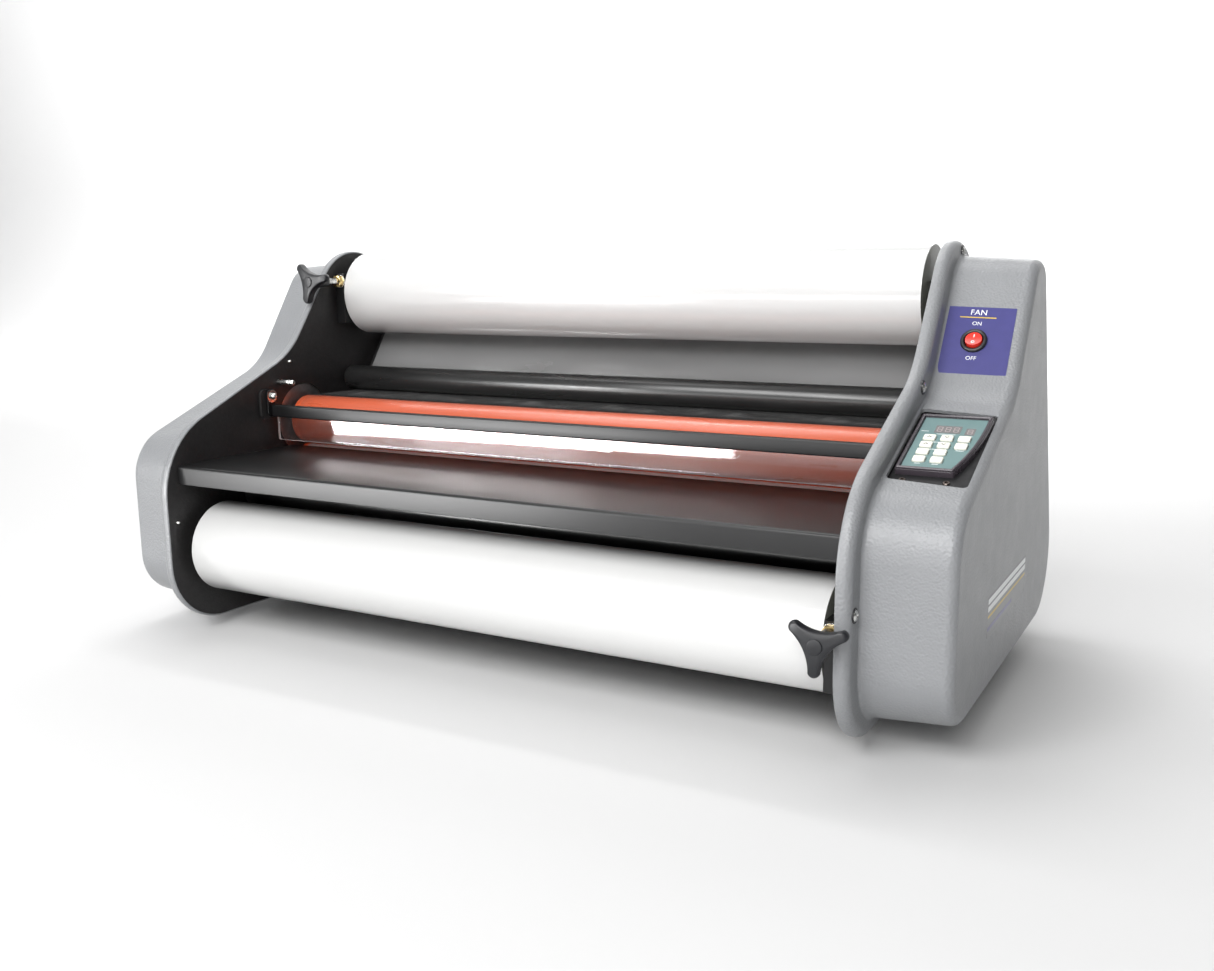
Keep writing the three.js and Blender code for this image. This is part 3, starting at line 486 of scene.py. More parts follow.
def filled(name, curve, middle, place, paint, up=0):
    """The mesh that a curve draws, moved up and set with its middle height at middle."""
    drawn = in_scene(name + "_drawn", curve)
    bpy.context.view_layer.update()
    flat = bpy.data.meshes.new_from_object(drawn.evaluated_get(bpy.context.evaluated_depsgraph_get()))
    points = [place(v.co.x, v.co.y + up, v.co.z + middle) for v in flat.vertices]
    faces = [list(p.vertices) for p in flat.polygons]
    bpy.data.objects.remove(drawn)
    bpy.data.curves.remove(curve)
    bpy.data.meshes.remove(flat)
    return build(name, points, faces, paint)


def plate(name, loops, start, end, place, paint, bevel=0.0, steps=2):
    """A flat piece between two heights, from closed loops of points: an outline, then its holes."""
    low, high = sorted((start, end))
    curve = bpy.data.curves.new(name, "CURVE")
    curve.dimensions = "2D"
    curve.fill_mode = "BOTH"
    for loop in loops:
        spline = curve.splines.new("POLY")
        spline.points.add(len(loop) - 1)
        for point, (a, b) in zip(spline.points, loop):
            point.co = (a, b, 0, 1)
        spline.use_cyclic_u = True
    curve.extrude = (high - low) / 2 - bevel
    curve.bevel_depth = bevel
    curve.bevel_resolution = steps
    curve.offset = -bevel
    return filled(name, curve, (low + high) / 2, place, paint)


def words(name, text, size, place, low, high, paint, up):
    """Generic lettering as thin raised strokes."""
    curve = bpy.data.curves.new(name, "FONT")
    curve.body = text
    curve.size = size
    curve.align_x, curve.align_y = "CENTER", "CENTER"
    curve.extrude = (high - low) / 2
    return filled(name, curve, (low + high) / 2, place, paint, up)


def circle(a, b, r, steps=64):
    return [polar(r, 2 * math.pi * k / steps, (a, b)) for k in range(steps)]


def arc(centre, r, start, end, steps):
    return [polar(r, start + (end - start) * k / steps, centre) for k in range(steps + 1)]


def bend(start, pull, end, t):
    """The point at t on a quadratic curve from start to end, pulled towards a third point."""
    return tuple((1 - t) ** 2 * start[i] + 2 * t * (1 - t) * pull[i] + t * t * end[i] for i in range(2))


def rounded_box(a0, a1, b0, b1, r, steps=6):
    corners = [(a1 - r, b1 - r, 0), (a0 + r, b1 - r, 1), (a0 + r, b0 + r, 2), (a1 - r, b0 + r, 3)]
    return [p for a, b, q in corners for p in arc((a, b), r, q * math.pi / 2, (q + 1) * math.pi / 2, steps)]


def outline(corners, out=0.0):
    """Points of a rounded polygon moved outward, as many for every outline with as many corners."""
    count, steps = len(corners), 14
    edges = []
    for i, corner in enumerate(corners):
        following = corners[(i + 1) % count]
        along = Vector((following[0] - corner[0], following[1] - corner[1])).normalized()
        normal = Vector((along.y, -along.x))
        edges.append((Vector(corner[:2]) + normal * out, along, normal))
    points = []
    for i in range(count):
        (p0, d0, n0), (p1, d1, _) = edges[i - 1], edges[i]
        turn = d0.x * d1.y - d0.y * d1.x
        gap = p1 - p0
        corner = p0 + d0 * ((gap.x * d1.y - gap.y * d1.x) / turn)
        r = corners[i][2] + (out if turn > 0 else -out)
        half = math.acos(max(-1, min(1, d0.dot(d1)))) / 2
        start = corner - d0 * (r * math.tan(half))
        centre = start + n0 * (-r if turn > 0 else r)
        sweep = 2 * half if turn > 0 else -2 * half
        arm = start - centre
        for k in range(steps + 1):
            angle = sweep * k / steps
            x = arm.x * math.cos(angle) - arm.y * math.sin(angle)
            y = arm.x * math.sin(angle) + arm.y * math.cos(angle)
            points.append((centre.x + x, centre.y + y))
    return points


def ring_solid(name, rings, side, paint):
    """A closed skin through rings (x, corners, out), capped at both ends."""
    loops = [[(side * x, y, z) for y, z in outline(corners, out)] for x, corners, out in rings]
    count = len(loops[0])
    caps = [list(range(count)), list(range(count * (len(loops) - 1), count * len(loops)))]
    return build(name, [p for loop in loops for p in loop], caps + skin(count, len(loops)), paint)


def band(name, path, thick, half, paint, columns=1, shift=None):
    """A thin sheet along a path of (y, z), from -half to half; shift(x, y, z) moves it out of flat."""
    points, faces, normals = [], [], []
    for i, (y, z) in enumerate(path):
        before, after = path[max(i - 1, 0)], path[min(i + 1, len(path) - 1)]
        along = Vector((after[0] - before[0], after[1] - before[1])).normalized()
        normals.append((-along.y, along.x))
    rows = len(path)
    for level in (-0.5, 0.5):
        for c in range(columns + 1):
            x = -half + 2 * half * c / columns
            for (y, z), (ny, nz) in zip(path, normals):
                out = level * thick + (shift(x, y, z) if shift else 0.0)
                points.append((x, y + ny * out, z + nz * out))
    layer = (columns + 1) * rows
    for c in range(columns):
        for i in range(rows - 1):
            a = c * rows + i
            quad = [a, a + 1, a + 1 + rows, a + rows]
            faces.append(quad)
            faces.append([q + layer for q in reversed(quad)])
        for i in (0, rows - 1):
            a = c * rows + i
            faces.append([a, a + rows, a + rows + layer, a + layer])
    for c in (0, columns):
        for i in range(rows - 1):
            a = c * rows + i
            faces.append([a, a + 1, a + 1 + layer, a + layer])
    return build(name, points, faces, paint)


# ---- covers and side frames ----
SKIN = 0.2                              # the shown cover stays this far inside the CAD box
WALL = 3


def quarter(x0, out0, dx, dout, steps, base):
    """Rings along a quarter turn that leaves straight along X and ends straight inward."""
    return [(x0 + dx * math.sin(t), base, out0 + dout * (1 - math.cos(t)))
            for t in (math.pi / 2 * k / steps for k in range(steps + 1))]


def cover(side, name):
    edge = 9
    face = COVER_OUT - SKIN
    inside = [(face - WALL, BULGE, -12.5), (COVER_OUT - edge - 1, BULGE, -4.6), (RIM_OUT, BULGE, -0.8),
              (RIM_OUT - WALL, BULGE, 1), (RIM_OUT - WALL, FLANGE, -8), (RIM_OUT - 3.6, FLANGE, -4.5),
              (COVER_IN, FLANGE, -4)]
    rim = [(COVER_IN, FLANGE, -2), (PLATE_IN + 0.2, FLANGE, -2), (PLATE_IN + 0.3, FLANGE, -1.2),
           (PLATE_IN + 0.9, FLANGE, -0.6), (PLATE_IN + 2.2, FLANGE, -SKIN)]
    rim += quarter(COVER_IN + 2, -SKIN, RIM_OUT - COVER_IN - 2, -8, 7, FLANGE)
    valley = [(RIM_OUT + 0.1, BULGE, 5.2), (RIM_OUT + 0.8, BULGE, 3.7), (RIM_OUT + 2.0, BULGE, 2.6),
              (RIM_OUT + 4.0, BULGE, 2.0), (RIM_OUT + 20, BULGE, 1.0), (COVER_OUT - edge - 12, BULGE, -0.9)]
    nose = quarter(COVER_OUT - edge, -1.6, edge - SKIN, -9, 8, BULGE)
    return ring_solid(name, inside + rim + valley + nose, side, "cover")


def cut_away(piece, tools):
    for tool in tools:
        trim = piece.modifiers.new("cut", "BOOLEAN")
        trim.operation = "DIFFERENCE"
        trim.solver = "EXACT"
        trim.object = tool
    bpy.context.view_layer.update()
    result = bpy.data.meshes.new_from_object(piece.evaluated_get(bpy.context.evaluated_depsgraph_get()))
    piece.modifiers.clear()
    piece.data = result
    for tool in tools:
        bpy.data.objects.remove(tool)


left_cover = cover(-1, "side_cover_left")
right_cover = cover(1, "side_cover_right")
keypad_hole = plate("keypad_hole", [rounded_box(-31.25, 31.25, -58, 57, 4)], -12, 12, ON_KEYPAD, "cover")
switch_hole = plate("switch_hole", [circle(0, 0, 10.2)], -8, 8, ON_SWITCH, "cover")
cut_away(right_cover, [keypad_hole, switch_hole])
for piece, node in ((left_cover, "left_side_cover"), (right_cover, "right_side_cover")):
    settle(piece, "frame", node, sharp=50)
    piece.modifiers.new("even_shading", "WEIGHTED_NORMAL").keep_sharp = True

for side, word in SIDES:
    holes = [circle(*HEAT_UP, 40.7, 96), circle(*HEAT_LOW, 9), circle(*PULL_UP, 7), circle(*PULL_LOW, 7),
             circle(*IDLER_UP, 6.4), circle(*IDLER_LOW, 6.4)]
    made = plate(f"side_frame_{word}", [outline(FLANGE, -2.2)] + holes, side * PLATE_IN, side * PLATE_OUT,
                 side_at, "wrinkle", 0.5)
    settle(made, "frame", f"{word}_side_plate")

# Cover screws: pan heads on the rim outside, points through the frame inside.
SCREWS = [(84.5, 393), (-38.5, 279), (-213.5, 124), (170, 283), (229, 121)]
POINT = ((-3.2, 0), (-3.0, 1.2), (-2, 1.8))
HEAD = ((-1, 1.8), (-1, 4.6), (0.8, 4.5), (1.9, 3.6), (2.4, 2), (1.1, 1.4), (1.1, 0))
CUP = ((-0.9, 5.0), (-0.9, 6.2), (0.5, 6.2), (0.7, 5.6), (0.3, 5.0), (-0.9, 5.0))
for side, word in SIDES:
    screw = [(side * (PLATE_IN + x), r) for x, r in POINT] + [(side * (RIM_OUT + x), r) for x, r in HEAD]
    cup = [(side * (RIM_OUT + x), r) for x, r in CUP]
    for number, spot in enumerate(SCREWS):
        parts = [lathe("head", screw, spot, "zinc", 32), lathe("washer", cup, spot, "plastic", 32)]
        settle(joined(f"cover_screw_{word}_{number + 1}", parts), "frame", sharp=35)

# Generic stripe on the outer face of each cover.
for side, word in SIDES:
    face = COVER_OUT - SKIN
    parts = []
    for loop, rise, ink in ((rounded_box(-84, 82, 79, 114, 1.5), 0.08, "strip"),
                            (rounded_box(-82, 20, 84.5, 88, 0.8), 0.14, "label"),
                            (rounded_box(-82, 80, 95.6, 97.6, 0.8), 0.14, "yellow"),
                            (rounded_box(-82, 80, 101, 105.5, 0.8), 0.14, "white_ink"),
                            (rounded_box(-82, 80, 107.5, 112, 0.8), 0.14, "white_ink")):
        parts.append(plate("stripe", [loop], side * (face - 0.1), side * (face + rise), side_at, ink))
    settle(joined(f"side_stripe_{word}", parts), "frame")

# ---- rolls of film ----


def film_roll(level, axis):
    body = f"{level}_supply"
    half, r = ROLL_HALF, ROLL_R
    wound = [(-half, 16.4), (-half, r - 0.5), (-half + 0.15, r - 0.15), (-half + 0.6, r)]
    roll = lathe(f"{level}_wound_film", both_ends(wound, closed=True), axis, "film", 128)
    add_paint(roll, f"{level}_end", lambda normal: abs(normal.x) > 0.9)
    settle(roll, body, f"{level}_film_roll", sharp=30)
    tube = both_ends([(-half - 0.1, 13.2), (-half - 0.1, 15.9), (-half + 0.2, 16.2)], closed=True)
    settle(lathe(f"{level}_core_tube", tube, axis, "core", 64), body)
    end = PLATE_IN - 1.2
    shaft = both_ends([(-end, 0), (-end, 6.6), (-end + 1, 7.5), (-half - 0.3, 7.5), (-half - 0.3, 11.8),
                       (-half + 0.6, 12.6)])
    settle(lathe(f"{level}_steel_spindle", shaft, axis, "steel", 48), body, f"{level}_spindle")


film_roll("upper", UPPER_ROLL)
film_roll("lower", LOWER_ROLL)

# ---- film webs ----


def angle_to(a, b):
    return math.atan2(b[1] - a[1], b[0] - a[0])


def straight(a, b, steps):
    return [(a[0] + (b[0] - a[0]) * k / steps, a[1] + (b[1] - a[1]) * k / steps) for k in range(1, steps)]


def web_path(on_roll, on_idler, on_heat, steps):
    """Arcs on the roll, the idler and the heated roller, joined by straight runs of so many steps."""
    first, second = steps
    return (on_roll + straight(on_roll[-1], on_idler[0], first) + on_idler
            + straight(on_idler[-1], on_heat[0], second) + on_heat)


WEB = 0.6  # the film's middle above the rollers
FILM_THICK = 0.3
ra, rb, rc = ROLL_R + WEB, IDLER_R + WEB, HEAT_R + WEB
leave = angle_to(UPPER_ROLL, IDLER_UP) + math.acos((ra - rb) / math.dist(UPPER_ROLL, IDLER_UP))
under = angle_to(IDLER_UP, HEAT_UP) + math.acos((rb + rc) / math.dist(IDLER_UP, HEAT_UP))
on_roll = arc(UPPER_ROLL, ra, leave + 0.08, leave, 2)
on_idler = arc(IDLER_UP, rb, leave, under, 14)
on_heat = arc(HEAT_UP, rc, under + math.pi, 1.5 * math.pi - 0.3, 30)
upper_path = web_path(on_roll, on_idler, on_heat, (14, 12))
FREE_LOW, FREE_HIGH = on_idler[-1], on_heat[0]


def clamped(value):
    return max(0.0, min(1.0, value))


def crumple(x, y, z):
    """Folds in the hanging film: broad in the rear sheet, short ones where it meets the heated roller."""
    edge = clamped((ROLL_HALF - abs(x)) / 40)
    rear = clamped((z - 262) / 12) * clamped((338 - z) / 25)
    broad = 0.7 * math.sin(0.021 * x + 0.06 * z) + 0.35 * math.sin(0.047 * x - 0.05 * z + 1.3)
    part = clamped((y - FREE_HIGH[0]) / (FREE_LOW[0] - FREE_HIGH[0]))
    near = math.sin(math.pi * part) ** 2
    short = (1.1 * math.sin(0.055 * x + 0.09 * y) + 0.8 * math.sin(0.131 * x + 0.8)
             + 0.45 * math.sin(0.29 * x - 0.12 * y))
    return edge * (rear * broad + (near * short if z < 246 else 0.0))


web = band("upper_clear_web", upper_path, FILM_THICK, ROLL_HALF, "web", 150, crumple)
settle(web, "frame", "upper_film_web", sharp=60)

run = angle_to(LOWER_ROLL, IDLER_LOW)
lift = math.acos((ra - rb) / math.dist(LOWER_ROLL, IDLER_LOW))
climb = angle_to(IDLER_LOW, HEAT_LOW) - math.acos((rb - rc) / math.dist(IDLER_LOW, HEAT_LOW))
lower_on_roll = arc(LOWER_ROLL, ra, run - lift - 0.1, run - lift, 2)
lower_on_idler = arc(IDLER_LOW, rb, run - lift, climb, 8)
lower_wrap = arc(HEAT_LOW, rc, climb + 2 * math.pi, math.pi / 2 + 0.3, 24)
lower_path = web_path(lower_on_roll, lower_on_idler, lower_wrap, (8, 10))
lower_web = band("lower_clear_web", lower_path, FILM_THICK, ROLL_HALF, "plain_web", 24)
settle(lower_web, "frame", sharp=60)

# The laminated print leaves the nip towards the rear.
joined_path = [(HEAT_UP[0] + 6 + 3.5 * k, NIP_Z) for k in range(58)]
joined_web = band("laminated_web", joined_path, 0.12, ROLL_HALF - 3, "plain_web", 24)
settle(joined_web, "frame")

# ---- rollers and bars ----
HEAT_HALF, IDLER_HALF, PULL_HALF, PULL_R = span("upper_roller_sleeve")[1].x, 354, 350, 19
for level, axis in (("upper", HEAT_UP), ("lower", HEAT_LOW)):
    sleeve = both_ends([(-HEAT_HALF, 20.5), (-HEAT_HALF, HEAT_R - 0.8), (-HEAT_HALF + 0.3, HEAT_R - 0.2),
                        (-HEAT_HALF + 1, HEAT_R)], closed=True)
    made = lathe(f"{level}_silicone_sleeve", sleeve, axis, "silicone", 112)
    settle(made, f"{level}_heat_roller", f"{level}_roller_sleeve", sharp=30)

for level, axis in (("upper", IDLER_UP), ("lower", IDLER_LOW)):
    end = PLATE_IN + 2.3
    bar = both_ends([(-end, 0), (-end, 5.4), (-end + 0.6, 6), (-IDLER_HALF, 6), (-IDLER_HALF, 12.3),
                     (-IDLER_HALF + 0.6, 13.5), (-IDLER_HALF + 2, IDLER_R)])
    settle(lathe(f"{level}_idler", bar, axis, "idler", 72), f"{level}_idler",
           f"{level}_idler_bar", sharp=30)

end = PLATE_OUT - 0.2
pull = both_ends([(-end, 0), (-end, 6), (-PULL_HALF, 6), (-PULL_HALF, PULL_R - 1.2),
                  (-PULL_HALF + 1.2, PULL_R)])
settle(lathe("upper_pull_rubber", pull, PULL_UP, "rubber", 72), "upper_pull",
       "upper_pull_roller", sharp=30)

# ---- feed table and heat shield ----
TABLE_LOW, TABLE_HIGH = span("feed_table")


def fold_profile():
    """Cross-section of the folded sheet: a flat top, a rounded front edge and a lip with a hem."""
    front, rear, top, sheet, radius = TABLE_LOW.y, TABLE_HIGH.y, TABLE_HIGH.z, 2.0, 3.2
    bottom = top - 19.7
    outer = arc((front + radius, top - radius), radius, math.pi / 2, math.pi, 8)
    inner = arc((front + radius, top - radius), radius - sheet, math.pi, math.pi / 2, 8)
    hem = [(front, bottom + 0.6), (front + 0.5, bottom), (front + 5.5, bottom), (front + 5.5, bottom + 1.8),
           (front + sheet, bottom + 1.8)]
    back = [(rear, top - sheet), (rear, top - 0.6), (rear - 0.6, top)]
    return outer + hem + inner + back


TABLE_HALF = TABLE_HIGH.x
top_sheet = plate("sheet", [fold_profile()], -TABLE_HALF, TABLE_HALF, side_at, "satin")
LIP_X = 337
lip = rounded_box(TABLE_LOW.y + 6.5, TABLE_HIGH.y - 5.5, TABLE_HIGH.z - 14, TABLE_HIGH.z - 1.8, 2)
lips = [plate("lip", [lip], side * LIP_X - 0.9, side * LIP_X + 0.9, side_at, "satin") for side in (-1, 1)]
settle(joined("folded_feed_table", [top_sheet, *lips]), "table", "feed_table", sharp=30)

PANEL_LOW, PANEL_HIGH = span("shield_panel")
PIVOT = (-75.0, 243.0)
BAR_BOTTOM, BAR_TOP = 219.5, 233.0


def bar_section():
    front, back, wall = -75.5, -69.1, 1.4
    face = arc((front + 1.6, BAR_TOP - 1.6), 1.6, math.pi / 2, math.pi, 5)
    face += arc((front + 1.6, BAR_BOTTOM + 1.6), 1.6, math.pi, 1.5 * math.pi, 5)
    hollow = [(back, BAR_BOTTOM), (back, BAR_BOTTOM + wall), (front + wall, BAR_BOTTOM + wall),
              (front + wall, BAR_TOP - wall), (back, BAR_TOP - wall), (back, BAR_TOP)]
    return face + hollow


BAR_HALF = 352.3
parts = [plate("channel", [bar_section()], -BAR_HALF, BAR_HALF, side_at, "satin")]
for side in (-1, 1):
    ear = rounded_box(PIVOT[0] - 6, PIVOT[0] + 7, PIVOT[1] - 23, PIVOT[1] + 7, 4.5)
    parts.append(plate("ear", [ear], side * 350.6, side * 352.4, side_at, "satin", 0.3))
settle(joined("shield_channel", parts), "heat_shield", "shield_bar", sharp=30)

glass = plate("shield_glass", [rounded_box(-350, 350, PANEL_LOW.z, PANEL_HIGH.z, 2.5)], -PANEL_HIGH.y,
              -PANEL_LOW.y, front_at, "acrylic", 0.3)
# The cut edges get the painted glow in place of light caught in the clear sheet.
add_paint(glass, "edge_glow", lambda normal: abs(normal.y) < 0.9)
settle(glass, "heat_shield", "shield_panel", sharp=30)


for side, word in SIDES:
    dome = [(side * x, r) for x, r in ((350.4, 0), (350.4, 7.0), (349.7, 7.1), (349.5, 3.4), (346.4, 3.3),
                                       (345.0, 2.6), (344.1, 1.4), (343.8, 0))]
    hexagon = circle(*PIVOT, 7 / math.sqrt(3), 6)
    nut = plate("nut", [hexagon], side * 346.8, side * 349.5, side_at, "zinc", 0.4)
    cap = lathe("cap", dome, PIVOT, "zinc", 32)
    settle(joined(f"shield_acorn_nut_{word}", [nut, cap]), "frame")

pin = [(-357.2, 0), (-357.2, 2.8), (-334.4, 2.8), (-333.7, 2.4), (-333.6, 1.3), (-336, 1.2), (-336, 0)]
settle(lathe("shield_stop_pin", pin, (-56.5, 257), "zinc", 32), "frame", sharp=30)

# ---- brake knobs with their studs and lock nuts ----
KNOB_R, KNOB_TIP = 26.0, 4.5
KNOB_X, KNOB_RISE = 350.2, 15  # the studs, from the middle and above their spindles


def lobed_outline(start):
    """Three round-tipped lobes with hollow flanks between them."""
    points = []
    for k in range(3):
        angle = start + k * 2 * math.pi / 3
        following = angle + 2 * math.pi / 3
        tip = arc(polar(KNOB_R - KNOB_TIP, angle), KNOB_TIP, angle - 1.1, angle + 1.1, 10)
        end = polar(KNOB_TIP, following - 1.1, polar(KNOB_R - KNOB_TIP, following))
        waist = polar(5.5, angle + math.pi / 3)
        points += tip + [bend(tip[-1], waist, end, step / 12) for step in range(1, 12)]
    return points


def knob(name, node, body, start, x, z, stud_end):
    face = span(node)[0].y
    loop = lobed_outline(start)
    levels = [(0, 12.0), (0.4, 12.0), (0.75, 12.0), (0.93, 11.6), (0.985, 10.6), (1.0, 9.0), (1.0, 4.6),
              (0.985, 3.0), (0.95, 2.0), (0.88, 1.5), (0.6, 1.25), (0.35, 1.2), (0, 1.2)]
    points = []
    for scale, depth in levels:
        for a, b in loop:
            far = math.hypot(a, b) * scale / KNOB_R
            crown = 2.2 * far * far if depth < 5 else 0.0
            points.append((x + a * scale, face + depth + crown, z + b * scale))
    lobes = build("lobes", points, skin(len(loop), len(levels)), "knob")

    def place(u, v, n):
        return (x + u, face + n, z + v)

    hub = turned("hub", [(0, 10.5), (8.6, 10.5), (8.0, 13), (6.3, 21), (5.7, 31), (5.2, 32.8), (4.4, 33.6),
                         (0, 33.6)], place, "knob", 48)
    cap = turned("cap", [(0, 0.12), (5.4, 0.12), (5.9, 0.3), (6.1, 0.8), (6.1, 2.5), (0, 2.5)], place,
                 "knob", 48)
    settle(joined(name, [lobes, hub, cap]), body, node, sharp=55)
    pitch, depth = 1.25, 0.45
    thread = []
    n = 30.0
    while n < stud_end - face:
        thread += [(4.0 - depth, n), (4.0, n + pitch / 2)]
        n += pitch
    stud = turned(name + "_stud", [(0, 30.0)] + thread + [(0, n)], place, "zinc", 32)
    settle(stud, body, sharp=80)


for word, x, axis, start in (("upper", -KNOB_X, UPPER_ROLL, 2.3), ("lower", KNOB_X, LOWER_ROLL, 0.44)):
    z = axis[1] + KNOB_RISE
    knob(f"{word}_knob_grip", f"{word}_brake_knob", f"{word}_knob", start, x, z, axis[0] + 22)
    block_front = span(f"{word}_brake_clamp")[0].y
    ring = [circle(x, z, 6.5 / math.cos(math.pi / 6), 6), circle(x, z, 4.35, 32)]
    nut = plate("nut", ring, -block_front + 0.8, -block_front + 6.4, front_at, "brass", 0.5)
    flat = plate("washer", [circle(x, z, 7.6, 40), circle(x, z, 4.5, 32)], -block_front + 0.05,
                 -block_front + 0.8, front_at, "zinc", 0.15)
    settle(joined(f"{word}_lock_nut", [nut, flat]), "frame", sharp=30)

# ---- keypad ----


def bezel_loop(grow):
    """The keypad's outline moved out by grow: square, but for its bowed right side."""
    left, right, low, high = -24.3 - grow, 26.9 + grow, -40.5 - grow, 41.5 + grow
    start, pull, steps = (15.4 + 0.7 * grow, low), (27.6 + grow, -5), 14
    bow = [bend(start, pull, (right, high), k / steps) for k in range(steps + 1)]
    return [(left, high), (left, low)] + bow


def softened(loop, cut=1.6):
    """Cuts each sharp corner of a loop with a short arc."""
    points = []
    for i, here in enumerate(loop):
        before, after = Vector(loop[i - 1]), Vector(loop[(i + 1) % len(loop)])
        here = Vector(here)
        d0, d1 = (here - before).normalized(), (after - here).normalized()
        if d0.dot(d1) > 0.9:
            points.append(tuple(here))
            continue
        a, b = here - d0 * cut, here + d1 * cut
        for k in range(5):
            t = k / 4
            points.append(tuple(a * (1 - t) ** 2 + here * (2 * t * (1 - t)) + b * t * t))
    return points


recess = plate("recess", [rounded_box(-30.9, 30.9, -57.7, 56.7, 3.7), bezel_loop(1.0)], -4.6, -2.6, ON_KEYPAD,
               "recess", 0.2)
skirt = plate("skirt", [softened(bezel_loop(3.5)), bezel_loop(0.0)], -3.0, 2.4, ON_KEYPAD, "bezel", 0.3)
crest = plate("crest", [softened(bezel_loop(3.1)), bezel_loop(0.2)], 2.0, 4.4, ON_KEYPAD, "bezel", 1.1, 4)
settle(joined("keypad_bezel", [recess, skirt, crest]), "frame", "keypad_housing", sharp=42)

SOCKET_HEAD = [(0, -2.7), (2.9, -2.7), (2.9, -2.0), (2.4, -1.5), (1.4, -1.45), (1.3, -2.4), (0, -2.4)]
for number, (u, v) in enumerate(((-19.7, -52.3), (14.3, -52.3), (-19.7, 51.3), (14.3, 51.3))):
    def on_screw(a, b, n):
        return ON_KEYPAD(u + a, v + b, n)

    screw = turned(f"keypad_screw_{number + 1}", SOCKET_HEAD, on_screw, "dark_steel", 32)
    settle(screw, "frame", sharp=30)

# Displays, legends and generic marks on the face.
DISPLAYS = ((-11.4, 8.4, 22.5, 3, 12.0), (13.3, 19.8, 20.5, 1, 11.0))
glass_parts, digit_parts = [], []
for left, right, mid, digits, tall in DISPLAYS:
    window = rounded_box(left - 0.6, right + 0.6, mid - tall / 2, mid + tall / 2, 0.6)
    glass_parts.append(plate("window", [window], 2.15, 2.32, ON_KEYPAD, "display"))
    step = (right - left) / digits
    for d in range(digits):
        centre, w, h = left + step * (d + 0.5), step * 0.27, tall * 0.3
        bars = [(centre, mid + h, w, 0.45), (centre, mid, w, 0.45), (centre, mid - h, w, 0.45)]
        bars += [(centre + sx * w, mid + sy * h / 2, 0.45, h * 0.42) for sx in (-1, 1) for sy in (-1, 1)]
        for a, b, half_w, half_h in bars:
            loop = rounded_box(a - half_w, a + half_w, b - half_h, b + half_h, 0.2, 2)
            digit_parts.append(plate("bar", [loop], 2.3, 2.4, ON_KEYPAD, "segment"))
settle(joined("keypad_displays", glass_parts + digit_parts), "frame")

LEGENDS = [(-19.3, 18.5, 3.0), (-1.5, 14.6, 7.5), (16.4, 13.4, 3.2), (-5.8, 1.3, 4.0), (-5.8, -10.1, 4.0),
           (14.95, -10.3, 3.2), (-12.75, -33.0, 2.4), (1.15, -33.0, 2.6)]
rules = [plate("legend", [rounded_box(u - half, u + half, v - 0.3, v + 0.3, 0.15, 2)], 2.18, 2.28, ON_KEYPAD,
               "white_ink") for u, v, half in LEGENDS]
settle(joined("keypad_legends", rules), "frame")

for index, (key, (u, v)) in enumerate(zip(KEY_NAMES, KEY_SPOTS)):
    body = f"button_{key}"
    stem = rounded_box(u - 4.9, u + 4.9, v - 4.0, v + 4.0, 1.3, 4)
    stem = plate("stem", [stem], -2, 3.0, ON_KEYPAD, "key")
    crown = rounded_box(u - 4.95, u + 4.95, v - 4.05, v + 4.05, 1.5, 5)
    crown = plate("crown", [crown], 1.4, KEY_TOP, ON_KEYPAD, "key", 0.9, 4)
    settle(joined(f"keycap_{key}", [stem, crown]), body, f"key_{key}", sharp=40)
    if index in (0, 1, 3, 4):
        point = 1 if index in (0, 3) else -1
        chevron = [(u - 2.1, v - 0.9 * point), (u, v + 0.9 * point), (u + 2.1, v - 0.9 * point),
                   (u + 1.3, v - 1.2 * point), (u, v - 0.1 * point), (u - 1.3, v - 1.2 * point)]
        mark = plate(f"arrow_{key}", [chevron], KEY_TOP - 0.05, KEY_TOP + 0.06, ON_KEYPAD, "ink")
        settle(mark, body)

# ---- fan switch and its label ----
DRAFT = 3.8 / 59.5                      # the cover's wall leans back this much along X


def on_cover(u, v, n):
    """On the drafted wall round the fan switch, n above its surface."""
    return ON_SWITCH(u, v, 0.42 - DRAFT * u + n)


sheet = [rounded_box(-26.5, 31.5, -35.5, 34.5, 0.8), circle(0, 0, 11.2, 48)]
parts = [plate("sheet", sheet, 0.0, 0.25, on_cover, "label"),
         plate("rule", [rounded_box(-15.5, 15.5, 23.4, 24.4, 0.3, 2)], 0.2, 0.34, on_cover, "yellow")]
for text, size, up in (("FAN", 7.6, 28.8), ("ON", 5.2, 17.6), ("OFF", 5.2, -17.2)):
    parts.append(words("word", text, size, on_cover, 0.2, 0.34, "white_ink", up))
settle(joined("fan_switch_label", parts), "frame")

ring = [(8.2, 1.1), (8.2, 2.7), (8.8, 3.25), (9.8, 3.4), (10.9, 3.0), (11.4, 2.2), (11.5, 1.1), (9.9, 1.0),
        (9.9, -9), (8.7, -9), (8.7, 0.8), (8.2, 1.1)]
settle(turned("fan_switch_ring", ring, ON_SWITCH, "plastic", 64), "frame",
       "fan_switch_bezel", sharp=40)

ROCKER_R, ROCKER_LEAN, ROCKER_PIVOT = 7.35, -0.2, 1.2


def on_rocker(u, v, n):
    """In the rocker's own leaning frame, n above its pivot."""
    c, s = math.cos(ROCKER_LEAN), math.sin(ROCKER_LEAN)
    return ON_SWITCH(u, v * c - n * s, v * s + n * c + ROCKER_PIVOT)


def rocker_top(u, v):
    return 2.5 + 0.8 * (v / ROCKER_R) ** 2


